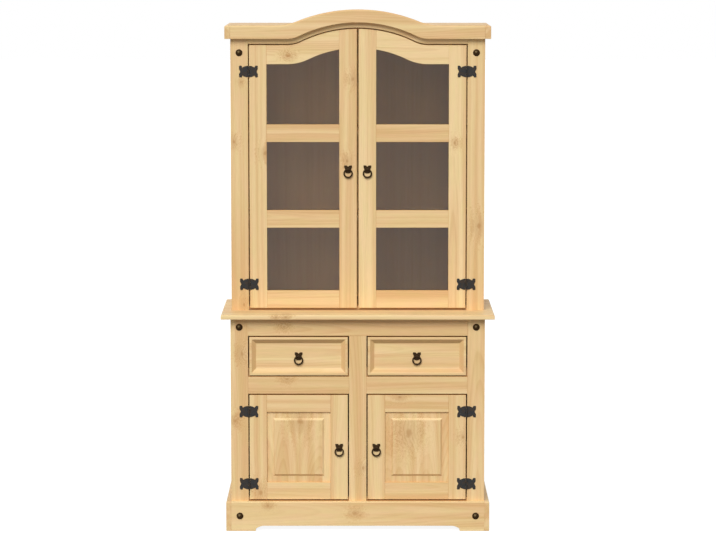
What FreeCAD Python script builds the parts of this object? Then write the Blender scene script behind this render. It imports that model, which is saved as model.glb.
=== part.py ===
"""Two-part pine trastero: a base with drawers and panelled doors under a glazed cabinet.

Millimetres. X runs to the right, the front faces -Y and Z is up. The origin is on the
floor, in the middle of the width and of the depth.
"""
import FreeCAD, Part
import math
import os
import re

import Sketcher

# Driving sizes in millimetres. A name that ends in share has no unit.
SIZES = {
    # Whole cabinet
    "overall_width": 1020,
    "overall_depth": 460,
    "overall_height": 1950,
    # Boards
    "side_thickness": 18,
    "back_thickness": 6,
    "shelf_thickness": 18,
    "frame_thickness": 20,
    "frame_member_width": 65,
    "groove_depth": 8,
    # Table top
    "table_height": 821,
    "table_thickness": 17,
    "table_side_overhang": 35,
    "table_front_overhang": 35,
    "table_bevel": 3.4,
    # Plinth
    "plinth_height": 112,
    "plinth_thickness": 19,
    "plinth_foot_length": 111,
    "plinth_shoulder_length": 32,
    "plinth_cut_height": 20,
    "plinth_step_height": 8,
    "plinth_bevel": 3,
    # Base cabinet
    "lower_top_rail_width": 66,
    "lower_door_lift": 5.5,
    "door_stop_lap": 12,
    "drawer_opening_height": 154,
    "lower_shelf_height_share": 0.5,
    "shelf_setback": 20,
    # Doors and drawer fronts
    "door_gap": 4.5,
    "door_thickness": 19,
    "door_member_width": 65,
    "meeting_gap": 6.5,
    "meeting_stile_width": 65.75,
    "panel_tongue_thickness": 6,
    "panel_tongue_setback": 7.5,
    "panel_bevel_width": 24,
    "panel_bevel_setback": 6.5,
    "panel_step_width": 6.5,
    "panel_field_setback": 0.8,
    "drawer_rim_width": 9,
    "drawer_slope_width": 16,
    "drawer_slope_depth": 12.8,
    "drawer_cove_width": 6,
    "drawer_recess_depth": 13.5,
    # Drawer boxes and runners
    "drawer_box_length": 360,
    "drawer_box_height": 138,
    "drawer_box_inset": 8,
    "drawer_side_thickness": 12,
    "drawer_bottom_thickness": 5,
    "drawer_bottom_rise": 10,
    "drawer_groove_depth": 5,
    "drawer_box_lift": 2,
    "runner_thickness": 16,
    "runner_ledge_width": 14,
    "runner_guide_rise": 24,
    "runner_clearance": 0.3,
    "guide_clearance": 1,
    # Upper cabinet
    "upper_setback": 140,
    "upper_door_lift": 8.5,
    "upper_floor_thickness": 15,
    "bottom_rail_width": 66.5,
    "cross_rail_width": 66,
    "lower_cross_rail_share": 0.341,
    "upper_cross_rail_share": 0.667,
    "top_rail_width": 71,
    "glass_thickness": 4,
    "glass_setback": 9,
    # Arches
    "arch_foot_share": 0.64,
    "door_arch_rise": 60.5,
    "door_crown_share": 0.805,
    "glass_arch_rise": 60,
    "glass_crown_share": 0.7,
    "fascia_reveal": 19.2,
    "fascia_top_drop": 2,
    # Cornice
    "cornice_overhang": 21,
    "cornice_height": 49.6,
    "cornice_bevel": 4,
    "cornice_arch_rise": 61,
    "cornice_crown_share": 0.84,
    "cornice_top_rise": 59.7,
    "cornice_top_foot_share": 0.745,
    "cornice_top_crown_share": 0.746,
    # Butterfly hinges
    "leaf_length": 35,
    "leaf_half_height": 21.5,
    "leaf_thickness": 2,
    "leaf_crown_share": 1.07,
    "barrel_radius": 3.5,
    "barrel_length": 40,
    "barrel_standoff": 0.5,
    "barrel_play": 0.4,
    "pin_radius": 1.7,
    "pin_clearance": 0.1,
    "upper_hinge_low_share": 0.0912,
    "upper_hinge_high_share": 0.901,
    "lower_hinge_low_share": 0.151,
    "lower_hinge_high_share": 0.843,
    # Ring pulls
    "pull_half_width": 14.8,
    "pull_height": 29.5,
    "pull_foot_drop": 15,
    "pull_thickness": 2.5,
    "pull_ear_share": 0.24,
    "pull_foot_share": 0.62,
    "lug_width": 5,
    "lug_wall": 2,
    "ring_radius": 15.1,
    "ring_bar_radius": 3.1,
    "ring_play": 0.6,
    "ring_standoff": 0.8,
    "upper_pull_height_share": 0.5306,
    "lower_pull_drop": 1.1,
    # Domed studs
    "stud_radius": 13,
    "stud_rise": 8,
    "stud_shank_radius": 2,
    "stud_shank_length": 14,
    "stud_drop": 51.7,
    "plinth_stud_height": 58,
    # Extra length of a cutting tool
    "overrun": 1,
}

# Outline of one hinge leaf, from the end of its rounded edge out to its tip: shares of its
# length and of its half height. The rounded edge starts beside the barrel.
LEAF_EDGE_SHARES = (
    (0.645, 0.68),
    (0.71, 0.93),
    (0.76, 1.00),
    (0.95, 1.00),
    (1.00, 0.90),
    (1.00, 0.46),
    (0.96, 0.33),
)
LEAF_ROOT_SHARE = 0.98
LEAF_NOTCH_SHARE = 0.86

# Right half of the pull's plate, from the top of its ear down to its foot: shares of its
# half width and of its height, and which rounding follows the point.
PULL_EDGE_SHARES = (
    (0.33, 0.985, ""),
    (0.88, 1.00, "ear"),
    (1.00, 0.90, ""),
    (0.97, 0.74, ""),
    (0.78, 0.55, ""),
    (0.80, 0.30, "foot"),
    (0.34, 0.00, ""),
)
PULL_NOTCH_SHARE = 0.83

doc = FreeCAD.newDocument("trastero")
dims = doc.addObject("Spreadsheet::Sheet", "dims")
for row, (alias, size) in enumerate(SIZES.items(), start=1):
    dims.set(f"A{row}", alias)
    dims.set(f"B{row}", str(size))
    dims.setAlias(f"B{row}", alias)
doc.recompute()

nodes = []


def formula(text):
    """Write the sheet's name in front of each size in a formula."""
    def with_sheet(word):
        return "dims." + word.group() if word.group() in SIZES else word.group()
    return re.sub(r"[a-z_]+", with_sheet, str(text))


def number(text):
    return float(dims.evalExpression(formula(text)))


def bind(thing, place, text):
    thing.setExpression(place, formula(text))


def move(thing, x=None, y=None, z=None):
    """Bind where a thing stands."""
    for axis, text in (("x", x), ("y", y), ("z", z)):
        if text is not None:
            bind(thing, "Placement.Base." + axis, text)


def turn(thing, axis, degrees):
    thing.Placement = FreeCAD.Placement(FreeCAD.Vector(), FreeCAD.Rotation(axis, degrees))


def mirror_pair(low, high):
    """The same span on the other side of X zero."""
    return f"-({high})", f"-({low})"


def box(name, x, y, z):
    block = doc.addObject("Part::Box", name)
    for side, (low, high) in (("Length", x), ("Width", y), ("Height", z)):
        bind(block, side, f"({high}) - ({low})")
    move(block, x[0], y[0], z[0])
    return block


def tapered(name, x, y, z, inset):
    """A block that is full size at the first Y and smaller by the inset all round at the
    second, which may lie in front of it or behind."""
    wedge = doc.addObject("Part::Wedge", name)
    wedge.Xmin = wedge.Ymin = wedge.Zmin = 0
    width, height = f"(({x[1]}) - ({x[0]}))", f"(({z[1]}) - ({z[0]}))"
    bind(wedge, "Xmax", width)
    bind(wedge, "Zmax", height)
    bind(wedge, "Ymax", f"abs(({y[1]}) - ({y[0]}))")
    bind(wedge, "X2min", inset)
    bind(wedge, "Z2min", inset)
    bind(wedge, "X2max", f"{width} - {inset}")
    bind(wedge, "Z2max", f"{height} - {inset}")
    if number(y[1]) < number(y[0]):
        turn(wedge, FreeCAD.Vector(1, 0, 0), 180)
        move(wedge, x[0], y[0], z[1])
    else:
        move(wedge, x[0], y[0], z[0])
    return wedge


def group(name, pieces):
    bundle = doc.addObject("Part::Compound", name)
    bundle.Links = pieces
    return bundle


def mirrored(name, piece, x=None):
    """The piece's mirror image across X zero, or across another X."""
    image = doc.addObject("Part::Mirroring", name)
    image.Source = piece
    image.Normal = FreeCAD.Vector(1, 0, 0)
    if x is not None:
        bind(image, "Base.x", x)
    return image


def both(name, left):
    return group(name, [left, mirrored(name + "_right", left)])


def fused(name, pieces):
    whole = doc.addObject("Part::MultiFuse", name)
    whole.Shapes = pieces
    return whole


def cut(name, piece, tool):
    rest = doc.addObject("Part::Cut", name)
    rest.Base = piece
    rest.Tool = tool
    return rest


def node(name, piece):
    piece.Label = name
    nodes.append(piece)
    return piece


def arc_geometry(start, end, radius, side):
    """A short arc from start to end, turning left (1) or right (-1)."""
    half = (end - start) * 0.5
    away = FreeCAD.Vector(-half.y, half.x, 0).normalize()
    centre = start + half + away * (side * math.sqrt(radius ** 2 - half.Length ** 2))
    first, last = (start, end) if side > 0 else (end, start)
    angles = [math.atan2(point.y - centre.y, point.x - centre.x) for point in (first, last)]
    circle = Part.Circle(centre, FreeCAD.Vector(0, 0, 1), radius)
    return Part.ArcOfCircle(circle, angles[0], angles[1])


def outline(body, plane, points):
    """A closed sketch. Each point is (across, up) or (across, up, radius, side), where
    radius and side shape the arc that leads to the next point."""
    sketch = body.newObject("Sketcher::SketchObject", body.Name + "_outline")
    support = next(item for item in body.Origin.OriginFeatures if item.Role == plane)
    sketch.AttachmentSupport = [(support, "")]
    sketch.MapMode = "FlatFace"
    corners = [FreeCAD.Vector(number(point[0]), number(point[1]), 0) for point in points]
    starts, ends = [], []
    for index, point in enumerate(points):
        start, end = corners[index], corners[(index + 1) % len(points)]
        if len(point) == 4:
            edge = arc_geometry(start, end, number(point[2]), point[3])
            starts.append(1 if point[3] > 0 else 2)
            ends.append(2 if point[3] > 0 else 1)
        else:
            edge = Part.LineSegment(start, end)
            starts.append(1)
            ends.append(2)
        sketch.addGeometry(edge, False)
    for index, point in enumerate(points):
        following = (index + 1) % len(points)
        joint = Sketcher.Constraint("Coincident", index, ends[index], following, starts[following])
        sketch.addConstraint(joint)
        for kind, value, text in (
            ("DistanceX", corners[index].x, point[0]),
            ("DistanceY", corners[index].y, point[1]),
        ):
            place = Sketcher.Constraint(kind, -1, 1, index, starts[index], value)
            bind(sketch, f"Constraints[{sketch.addConstraint(place)}]", text)
        if len(point) == 4:
            rounding = Sketcher.Constraint("Radius", index, number(point[2]))
            bind(sketch, f"Constraints[{sketch.addConstraint(rounding)}]", point[2])
    return sketch


def cut_board(name, plane, points, thickness, reverse=False):
    """A board sawn to an outline. On XZ_Plane it grows to the front, or to the back if
    it is reversed."""
    body = doc.addObject("PartDesign::Body", name)
    pad = body.newObject("PartDesign::Pad", name + "_pad")
    pad.Profile = outline(body, plane, points)
    bind(pad, "Length", thickness)
    pad.Reversed = reverse
    return body


def near(one, other):
    return abs(one - other) < 1e-6


def bevelled(body, is_rim, size):
    """Bevel the board's edges whose two ends pass the test."""
    doc.recompute()
    pad = body.Tip
    rim = []
    for index, edge in enumerate(pad.Shape.Edges, start=1):
        if is_rim([vertex.Point for vertex in edge.Vertexes]):
            rim.append(f"Edge{index}")
    bevel = body.newObject("PartDesign::Chamfer", body.Name + "_bevel")
    bevel.Base = (pad, rim)
    bind(bevel, "Size", size)
    body.Tip = bevel
    return body


class Ogee:
    """An arch that rises from a level line by two small arcs into one crown arc."""

    def __init__(self, level, foot, rise, crown_share):
        reach = f"((({foot})^2 + ({rise})^2) / (2 * {rise}))"
        self.level = level
        self.foot = foot
        self.joint = f"({crown_share} * {foot})"
        self.joint_level = f"({level} + (1 - {crown_share}) * {rise})"
        self.crown_radius = f"({crown_share} * {reach})"
        self.fillet_radius = f"((1 - {crown_share}) * {reach})"
        self.crown_centre = f"({level} + {rise} - {self.crown_radius})"

    def height_at(self, x):
        return f"({self.crown_centre} + sqrt({self.crown_radius}^2 - ({x})^2))"

    def rightwards(self):
        """Points along the whole arch from left to right."""
        return [
            (f"-{self.foot}", self.level, self.fillet_radius, 1),
            (f"-{self.joint}", self.joint_level, self.crown_radius, -1),
            (self.joint, self.joint_level, self.fillet_radius, 1),
            (self.foot, self.level),
        ]

    def leftwards(self):
        return [
            (self.foot, self.level, self.fillet_radius, -1),
            (self.joint, self.joint_level, self.crown_radius, 1),
            (f"-{self.joint}", self.joint_level, self.fillet_radius, -1),
            (f"-{self.foot}", self.level),
        ]

    def left_half_inwards(self, x):
        """Points along the left half, from its foot to a place on the crown."""
        return [
            (f"-{self.foot}", self.level, self.fillet_radius, 1),
            (f"-{self.joint}", self.joint_level, self.crown_radius, -1),
            (x, self.height_at(x)),
        ]

    def left_half_outwards(self, x):
        return [
            (x, self.height_at(x), self.crown_radius, 1),
            (f"-{self.joint}", self.joint_level, self.fillet_radius, -1),
            (f"-{self.foot}", self.level),
        ]


# Planes and lines that several pieces share
BACK = "(overall_depth / 2)"
BACK_PANEL = f"({BACK} - back_thickness)"
TABLE_FRONT = "(-overall_depth / 2)"
LOWER_FRONT = f"({TABLE_FRONT} + table_front_overhang)"
UPPER_FRONT = f"({TABLE_FRONT} + upper_setback)"
LOWER_INSIDE = f"({LOWER_FRONT} + frame_thickness)"
UPPER_INSIDE = f"({UPPER_FRONT} + frame_thickness)"
PLINTH_FRONT = f"({LOWER_FRONT} - plinth_thickness)"
CORNICE_FRONT = f"({UPPER_FRONT} - cornice_overhang)"

CARCASS_HALF = "(overall_width / 2 - table_side_overhang)"
INSIDE_HALF = f"({CARCASS_HALF} - side_thickness)"
OPENING_HALF = f"({CARCASS_HALF} - frame_member_width)"
CENTRE_HALF = "(frame_member_width / 2)"
DIVIDER_HALF = "(side_thickness / 2)"
HINGE_X = f"({OPENING_HALF} - door_gap / 2)"

TABLE_UNDERSIDE = "(table_height - table_thickness)"
DRAWER_OPENING_TOP = f"({TABLE_UNDERSIDE} - lower_top_rail_width)"
DRAWER_OPENING_BOTTOM = f"({DRAWER_OPENING_TOP} - drawer_opening_height)"
LOWER_OPENING_TOP = f"({DRAWER_OPENING_BOTTOM} - frame_member_width)"
LOWER_OPENING_BOTTOM = "plinth_height"
LOWER_DOOR_BOTTOM = f"({LOWER_OPENING_BOTTOM} + lower_door_lift)"
LOWER_FLOOR_TOP = f"({LOWER_OPENING_BOTTOM} + door_stop_lap)"

CORNICE_TOP = "(overall_height - cornice_top_rise)"
CORNICE_BOTTOM = f"({CORNICE_TOP} - cornice_height)"
FASCIA_EDGE = f"({CORNICE_BOTTOM} - fascia_reveal)"
FASCIA_TOP = f"({CORNICE_TOP} - fascia_top_drop)"
UPPER_DOOR_TOP = f"({FASCIA_EDGE} - door_gap)"
UPPER_DOOR_BOTTOM = "(table_height + upper_door_lift)"
UPPER_DOOR_HEIGHT = f"({UPPER_DOOR_TOP} - {UPPER_DOOR_BOTTOM})"
ROOF_UNDERSIDE = f"({CORNICE_TOP} - side_thickness)"
UPPER_FLOOR_TOP = "(table_height + upper_floor_thickness)"

ARCH_FOOT = f"(arch_foot_share * {OPENING_HALF})"
CORNICE_TOP_FOOT = f"(cornice_top_foot_share * {OPENING_HALF})"
GLASS_LEVEL = f"({UPPER_DOOR_TOP} - top_rail_width)"
fascia_arch = Ogee(FASCIA_EDGE, ARCH_FOOT, "door_arch_rise", "door_crown_share")
door_arch = Ogee(UPPER_DOOR_TOP, ARCH_FOOT, "door_arch_rise", "door_crown_share")
glass_arch = Ogee(GLASS_LEVEL, ARCH_FOOT, "glass_arch_rise", "glass_crown_share")
bedded_arch = Ogee(f"({GLASS_LEVEL} + groove_depth)", ARCH_FOOT, "glass_arch_rise", "glass_crown_share")
cornice_arch = Ogee(CORNICE_BOTTOM, ARCH_FOOT, "cornice_arch_rise", "cornice_crown_share")
cornice_top_arch = Ogee(CORNICE_TOP, CORNICE_TOP_FOOT, "cornice_top_rise", "cornice_top_crown_share")
fascia_top_arch = Ogee(FASCIA_TOP, CORNICE_TOP_FOOT, "cornice_top_rise", "cornice_top_crown_share")


def make_table_top():
    corners = [
        ("-overall_width / 2", "-overall_depth / 2"),
        ("overall_width / 2", "-overall_depth / 2"),
        ("overall_width / 2", "overall_depth / 2"),
        ("-overall_width / 2", "overall_depth / 2"),
    ]
    body = cut_board("table_board", "XY_Plane", corners, "table_thickness")
    move(body, z=TABLE_UNDERSIDE)
    top, back = number("table_thickness"), number("overall_depth / 2")

    def is_rim(ends):
        return all(near(end.z, top) for end in ends) and not all(near(end.y, back) for end in ends)

    node("table_top", bevelled(body, is_rim, "table_bevel"))


def stud(name, face, z):
    """One domed stud with its shank, on the left stile's centre line."""
    x = f"-({CARCASS_HALF} - frame_member_width / 2)"
    dome_radius = "((stud_radius^2 + stud_rise^2) / (2 * stud_rise))"
    dome = doc.addObject("Part::Sphere", name + "_dome")
    turn(dome, FreeCAD.Vector(1, 0, 0), 90)
    bind(dome, "Radius", dome_radius)
    bind(dome, "Angle1", f"asin(1 - stud_rise / {dome_radius})")
    move(dome, x, f"{face} + {dome_radius} - stud_rise", z)
    shank = doc.addObject("Part::Cylinder", name + "_shank")
    turn(shank, FreeCAD.Vector(1, 0, 0), -90)
    bind(shank, "Radius", "stud_shank_radius")
    bind(shank, "Height", "stud_shank_length + stud_rise / 2")
    move(shank, x, f"{face} - stud_rise / 2", z)
    return fused(name, [dome, shank])


def make_studs():
    left = group("left_studs", [
        stud("cornice_stud", UPPER_FRONT, f"{CORNICE_BOTTOM} - stud_drop"),
        stud("base_stud", LOWER_FRONT, f"{TABLE_UNDERSIDE} - lower_top_rail_width / 2"),
        stud("plinth_stud", PLINTH_FRONT, "plinth_stud_height"),
    ])
    return node("iron_studs", both("studs", left))


def make_base(studs):
    inside_y = (LOWER_INSIDE, BACK_PANEL)
    frame_y = (LOWER_FRONT, LOWER_INSIDE)
    full_z = ("plinth_cut_height", TABLE_UNDERSIDE)
    between = (f"-{INSIDE_HALF}", INSIDE_HALF)
    opening = (f"-{OPENING_HALF}", OPENING_HALF)

    side = box("lower_side", mirror_pair(INSIDE_HALF, CARCASS_HALF), (LOWER_INSIDE, BACK), full_z)
    node("lower_sides", both("lower_side_pair", side))
    node("lower_back_panel", box("lower_back", between, (BACK_PANEL, BACK), full_z))
    floor_z = (f"{LOWER_FLOOR_TOP} - shelf_thickness", LOWER_FLOOR_TOP)
    node("lower_floor", box("lower_floor_board", between, inside_y, floor_z))
    divider_x = (f"-{DIVIDER_HALF}", DIVIDER_HALF)
    divider_z = (LOWER_FLOOR_TOP, TABLE_UNDERSIDE)
    node("lower_divider", box("lower_divider_board", divider_x, inside_y, divider_z))

    shelf_top = (
        f"({LOWER_FLOOR_TOP} + lower_shelf_height_share * ({LOWER_OPENING_TOP} - {LOWER_FLOOR_TOP})"
        " + shelf_thickness / 2)"
    )
    shelf = box(
        "lower_shelf",
        mirror_pair(DIVIDER_HALF, INSIDE_HALF),
        (f"{LOWER_INSIDE} + shelf_setback", BACK_PANEL),
        (f"{shelf_top} - shelf_thickness", shelf_top),
    )
    node("lower_shelves", both("lower_shelf_pair", shelf))

    outer_stile = box("lower_outer_stile", mirror_pair(OPENING_HALF, CARCASS_HALF), frame_y, full_z)
    centre_stile = box(
        "lower_centre_stile",
        (f"-{CENTRE_HALF}", CENTRE_HALF),
        frame_y,
        (LOWER_OPENING_BOTTOM, DRAWER_OPENING_TOP),
    )
    stiles = group("lower_stile_set", [both("lower_outer_stiles", outer_stile), centre_stile])
    node("lower_stiles", cut("lower_stiles_bored", stiles, studs))

    top_z = (DRAWER_OPENING_TOP, TABLE_UNDERSIDE)
    node("lower_top_rail", box("lower_top_rail_board", opening, frame_y, top_z))
    mid_z = (LOWER_OPENING_TOP, DRAWER_OPENING_BOTTOM)
    mid_rail = box("lower_mid_rail", mirror_pair(CENTRE_HALF, OPENING_HALF), frame_y, mid_z)
    node("lower_mid_rails", both("lower_mid_rail_pair", mid_rail))
    bottom_z = (f"{LOWER_OPENING_BOTTOM} - frame_member_width", LOWER_OPENING_BOTTOM)
    node("lower_bottom_rail", box("lower_bottom_rail_board", opening, frame_y, bottom_z))


def plinth_edge(low, high, foot):
    """The outline of a plinth board: a foot, a step and a rounded shoulder at each end of
    its underside, and a level cut between them."""
    shoulder = (
        "((plinth_shoulder_length^2 + (plinth_cut_height - plinth_step_height)^2)"
        " / (2 * (plinth_cut_height - plinth_step_height)))"
    )
    left, right = f"({low} + {foot})", f"({high} - {foot})"
    return [
        (low, "0"),
        (left, "0"),
        (left, "plinth_step_height", shoulder, -1),
        (f"{left} + plinth_shoulder_length", "plinth_cut_height"),
        (f"{right} - plinth_shoulder_length", "plinth_cut_height", shoulder, -1),
        (right, "plinth_step_height"),
        (right, "0"),
        (high, "0"),
        (high, "plinth_height"),
        (low, "plinth_height"),
    ]


def make_plinth(studs):
    front_foot = "(plinth_foot_length - plinth_thickness)"
    edge = plinth_edge(f"(-{CARCASS_HALF})", CARCASS_HALF, front_foot)
    front = cut_board("plinth_board", "XZ_Plane", edge, "plinth_thickness", reverse=True)
    move(front, y=PLINTH_FRONT)
    height, front_y = number("plinth_height"), number(PLINTH_FRONT)

    def is_front_rim(ends):
        return all(near(end.y, 0) and near(end.z, height) for end in ends)

    front = bevelled(front, is_front_rim, "plinth_bevel")
    node("plinth_front", cut("plinth_board_bored", front, studs))
    side_edge = plinth_edge(PLINTH_FRONT, BACK, "plinth_foot_length")
    side = cut_board("plinth_side", "YZ_Plane", side_edge, "plinth_thickness")
    move(side, x=f"-{CARCASS_HALF} - plinth_thickness")

    def is_side_rim(ends):
        outer = all(near(end.x, 0) for end in ends)
        front_end = all(near(end.y, front_y) for end in ends)
        return all(near(end.z, height) for end in ends) and (outer or front_end)

    node("plinth_sides", both("plinth_side_pair", bevelled(side, is_side_rim, "plinth_bevel")))


def make_upper_case(studs):
    inside_y = (UPPER_INSIDE, BACK_PANEL)
    frame_y = (UPPER_FRONT, UPPER_INSIDE)
    case_z = ("table_height", ROOF_UNDERSIDE)
    between = (f"-{INSIDE_HALF}", INSIDE_HALF)

    side = box("upper_side", mirror_pair(INSIDE_HALF, CARCASS_HALF), (UPPER_INSIDE, BACK), case_z)
    node("upper_sides", both("upper_side_pair", side))
    node("upper_back_panel", box("upper_back", between, (BACK_PANEL, BACK), case_z))
    floor_z = ("table_height", UPPER_FLOOR_TOP)
    node("upper_floor", box("upper_floor_board", between, inside_y, floor_z))

    shelves = []
    for name, share in (("low", "lower_cross_rail_share"), ("high", "upper_cross_rail_share")):
        middle = f"({UPPER_DOOR_BOTTOM} + {share} * {UPPER_DOOR_HEIGHT})"
        shelf_z = (f"{middle} - shelf_thickness / 2", f"{middle} + shelf_thickness / 2")
        shelf_y = (f"{UPPER_INSIDE} + shelf_setback", BACK_PANEL)
        shelves.append(box(f"upper_shelf_{name}", between, shelf_y, shelf_z))
    node("upper_shelves", group("upper_shelf_pair", shelves))

    stile_z = ("table_height", FASCIA_TOP)
    stile = box("upper_stile", mirror_pair(OPENING_HALF, CARCASS_HALF), frame_y, stile_z)
    node("upper_stiles", cut("upper_stiles_bored", both("upper_stile_pair", stile), studs))

    fascia_edge = [
        (f"-{OPENING_HALF}", FASCIA_EDGE),
        *fascia_arch.rightwards(),
        (OPENING_HALF, FASCIA_EDGE),
        (OPENING_HALF, FASCIA_TOP),
        *fascia_top_arch.leftwards(),
        (f"-{OPENING_HALF}", FASCIA_TOP),
    ]
    fascia = cut_board("fascia_board", "XZ_Plane", fascia_edge, "frame_thickness", reverse=True)
    move(fascia, y=UPPER_FRONT)
    node("arched_fascia", fascia)
    roof_x = (f"-{CARCASS_HALF}", CARCASS_HALF)
    node("roof_board", box("roof", roof_x, (UPPER_INSIDE, BACK), (ROOF_UNDERSIDE, CORNICE_TOP)))


def make_cornice():
    edge = [
        (f"-{CARCASS_HALF}", CORNICE_BOTTOM),
        *cornice_arch.rightwards(),
        (CARCASS_HALF, CORNICE_BOTTOM),
        (CARCASS_HALF, CORNICE_TOP),
        *cornice_top_arch.leftwards(),
        (f"-{CARCASS_HALF}", CORNICE_TOP),
    ]
    front = cut_board("cornice_board", "XZ_Plane", edge, "cornice_overhang", reverse=True)
    move(front, y=CORNICE_FRONT)
    top = number(CORNICE_TOP)

    def is_front_rim(ends):
        return all(near(end.y, 0) and (end.z > top or near(end.z, top)) for end in ends)

    node("cornice_front", bevelled(front, is_front_rim, "cornice_bevel"))

    end_grain = [
        ("0", "0"),
        ("cornice_overhang", "0"),
        ("cornice_overhang", "cornice_height"),
        ("0", "cornice_height"),
    ]
    side = cut_board("cornice_side", "XZ_Plane", end_grain, f"{BACK} - {CORNICE_FRONT}", reverse=True)
    move(side, f"-{CARCASS_HALF} - cornice_overhang", CORNICE_FRONT, CORNICE_BOTTOM)
    height = number("cornice_height")

    def is_side_rim(ends):
        outer = all(near(end.x, 0) for end in ends)
        front_end = all(near(end.y, 0) for end in ends)
        return all(near(end.z, height) for end in ends) and (outer or front_end)

    node("cornice_sides", both("cornice_side_pair", bevelled(side, is_side_rim, "cornice_bevel")))


def leaf_plate(name, x, face, z):
    """The flat eared leaf on the door's side of the barrel."""
    crown = "leaf_crown_share * leaf_length"
    root, root_up = "barrel_radius + barrel_play", f"{LEAF_ROOT_SHARE} * leaf_half_height"
    edge = [(f"{out} * leaf_length", f"{up} * leaf_half_height") for out, up in LEAF_EDGE_SHARES]
    lower = [(across, f"-{up}") for across, up in reversed(edge)]
    points = [
        (root, root_up, crown, -1),
        *edge,
        (f"{LEAF_NOTCH_SHARE} * leaf_length", "0"),
        *lower[:-1],
        (*lower[-1], crown, -1),
        (root, f"-{root_up}"),
    ]
    plate = cut_board(name, "XZ_Plane", points, "leaf_thickness")
    move(plate, x, face, z)
    return plate


def barrel(name, x, face, low, high, radius):
    """A length of round bar or hole on the hinge's axis."""
    round_bar = doc.addObject("Part::Cylinder", name)
    bind(round_bar, "Radius", radius)
    bind(round_bar, "Height", f"({high}) - ({low})")
    move(round_bar, x, f"{face} - barrel_radius - barrel_standoff", low)
    return round_bar


def hinge(name, face, z):
    """A left-hand butterfly hinge: the frame's leaf, and the door's leaf with its pin."""
    x = f"(-{HINGE_X})"
    knuckle = "(barrel_length / 6)"
    plate = leaf_plate(name + "_door_plate", x, face, z)
    frame_plate = mirrored(name + "_frame_plate", plate, x)
    web_y = (f"{face} - leaf_thickness", face)
    web_length = "(barrel_radius + barrel_play)"

    middle = (f"({z} - {knuckle} + barrel_play / 2)", f"({z} + {knuckle} - barrel_play / 2)")
    door_leaf = fused(name + "_door_leaf", [
        plate,
        box(name + "_door_web", (x, f"{x} + {web_length}"), web_y, middle),
        barrel(name + "_door_knuckle", x, face, *middle, "barrel_radius"),
        barrel(name + "_pin", x, face, f"{z} - 3 * {knuckle}", f"{z} + 3 * {knuckle}", "pin_radius"),
    ])

    pieces = [frame_plate]
    for end, low, high in (
        ("low", f"({z} - 3 * {knuckle})", f"({z} - {knuckle} - barrel_play / 2)"),
        ("high", f"({z} + {knuckle} + barrel_play / 2)", f"({z} + 3 * {knuckle})"),
    ):
        pieces.append(box(f"{name}_frame_web_{end}", (f"{x} - {web_length}", x), web_y, (low, high)))
        pieces.append(barrel(f"{name}_frame_knuckle_{end}", x, face, low, high, "barrel_radius"))
    hole_ends = (f"{z} - 3 * {knuckle} - overrun", f"{z} + 3 * {knuckle} + overrun")
    hole = barrel(name + "_hole", x, face, *hole_ends, "pin_radius + pin_clearance")
    frame_leaf = cut(name + "_frame_leaf", fused(name + "_frame_blank", pieces), hole)
    return frame_leaf, door_leaf


def pull(name, x, face, z):
    """A ring pull whose ring turns about a level axis at height z: its plate and ring."""
    foot = "-pull_foot_drop"
    roundings = {"ear": "pull_ear_share * pull_half_width", "foot": "pull_foot_share * pull_half_width"}
    right, left = [], []
    kinds = [kind for *place, kind in PULL_EDGE_SHARES]
    for index, (out_share, up_share, kind) in enumerate(PULL_EDGE_SHARES):
        across, up = f"{out_share} * pull_half_width", f"{foot} + {up_share} * pull_height"
        right.append((across, up, roundings[kind], -1) if kind else (across, up))
        previous = kinds[index - 1] if index else ""
        left.append((f"-{across}", up, roundings[previous], -1) if previous else (f"-{across}", up))
    points = [
        ("0", f"{foot} + {PULL_NOTCH_SHARE} * pull_height"),
        *right,
        *reversed(left),
    ]
    plate = cut_board(name + "_back", "XZ_Plane", points, "pull_thickness")
    move(plate, x, face, z)

    axis_y = f"({face} - pull_thickness - ring_standoff - ring_bar_radius)"
    eye_radius = "(ring_bar_radius + ring_play)"
    lug = doc.addObject("Part::Cylinder", name + "_lug")
    eye = doc.addObject("Part::Cylinder", name + "_eye")
    for bar, radius, reach in (
        (lug, f"{eye_radius} + lug_wall", "lug_width / 2"),
        (eye, eye_radius, "lug_width / 2 + overrun"),
    ):
        turn(bar, FreeCAD.Vector(0, 1, 0), 90)
        bind(bar, "Radius", radius)
        bind(bar, "Height", f"2 * ({reach})")
        move(bar, f"{x} - ({reach})", axis_y, z)
    plate_with_lug = cut(name + "_plate", fused(name + "_blank", [plate, lug]), eye)

    ring = doc.addObject("Part::Torus", name + "_ring")
    turn(ring, FreeCAD.Vector(1, 0, 0), 90)
    bind(ring, "Radius1", "ring_radius")
    bind(ring, "Radius2", "ring_bar_radius")
    move(ring, x, axis_y, f"{z} - ring_radius")
    return plate_with_lug, ring


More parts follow.
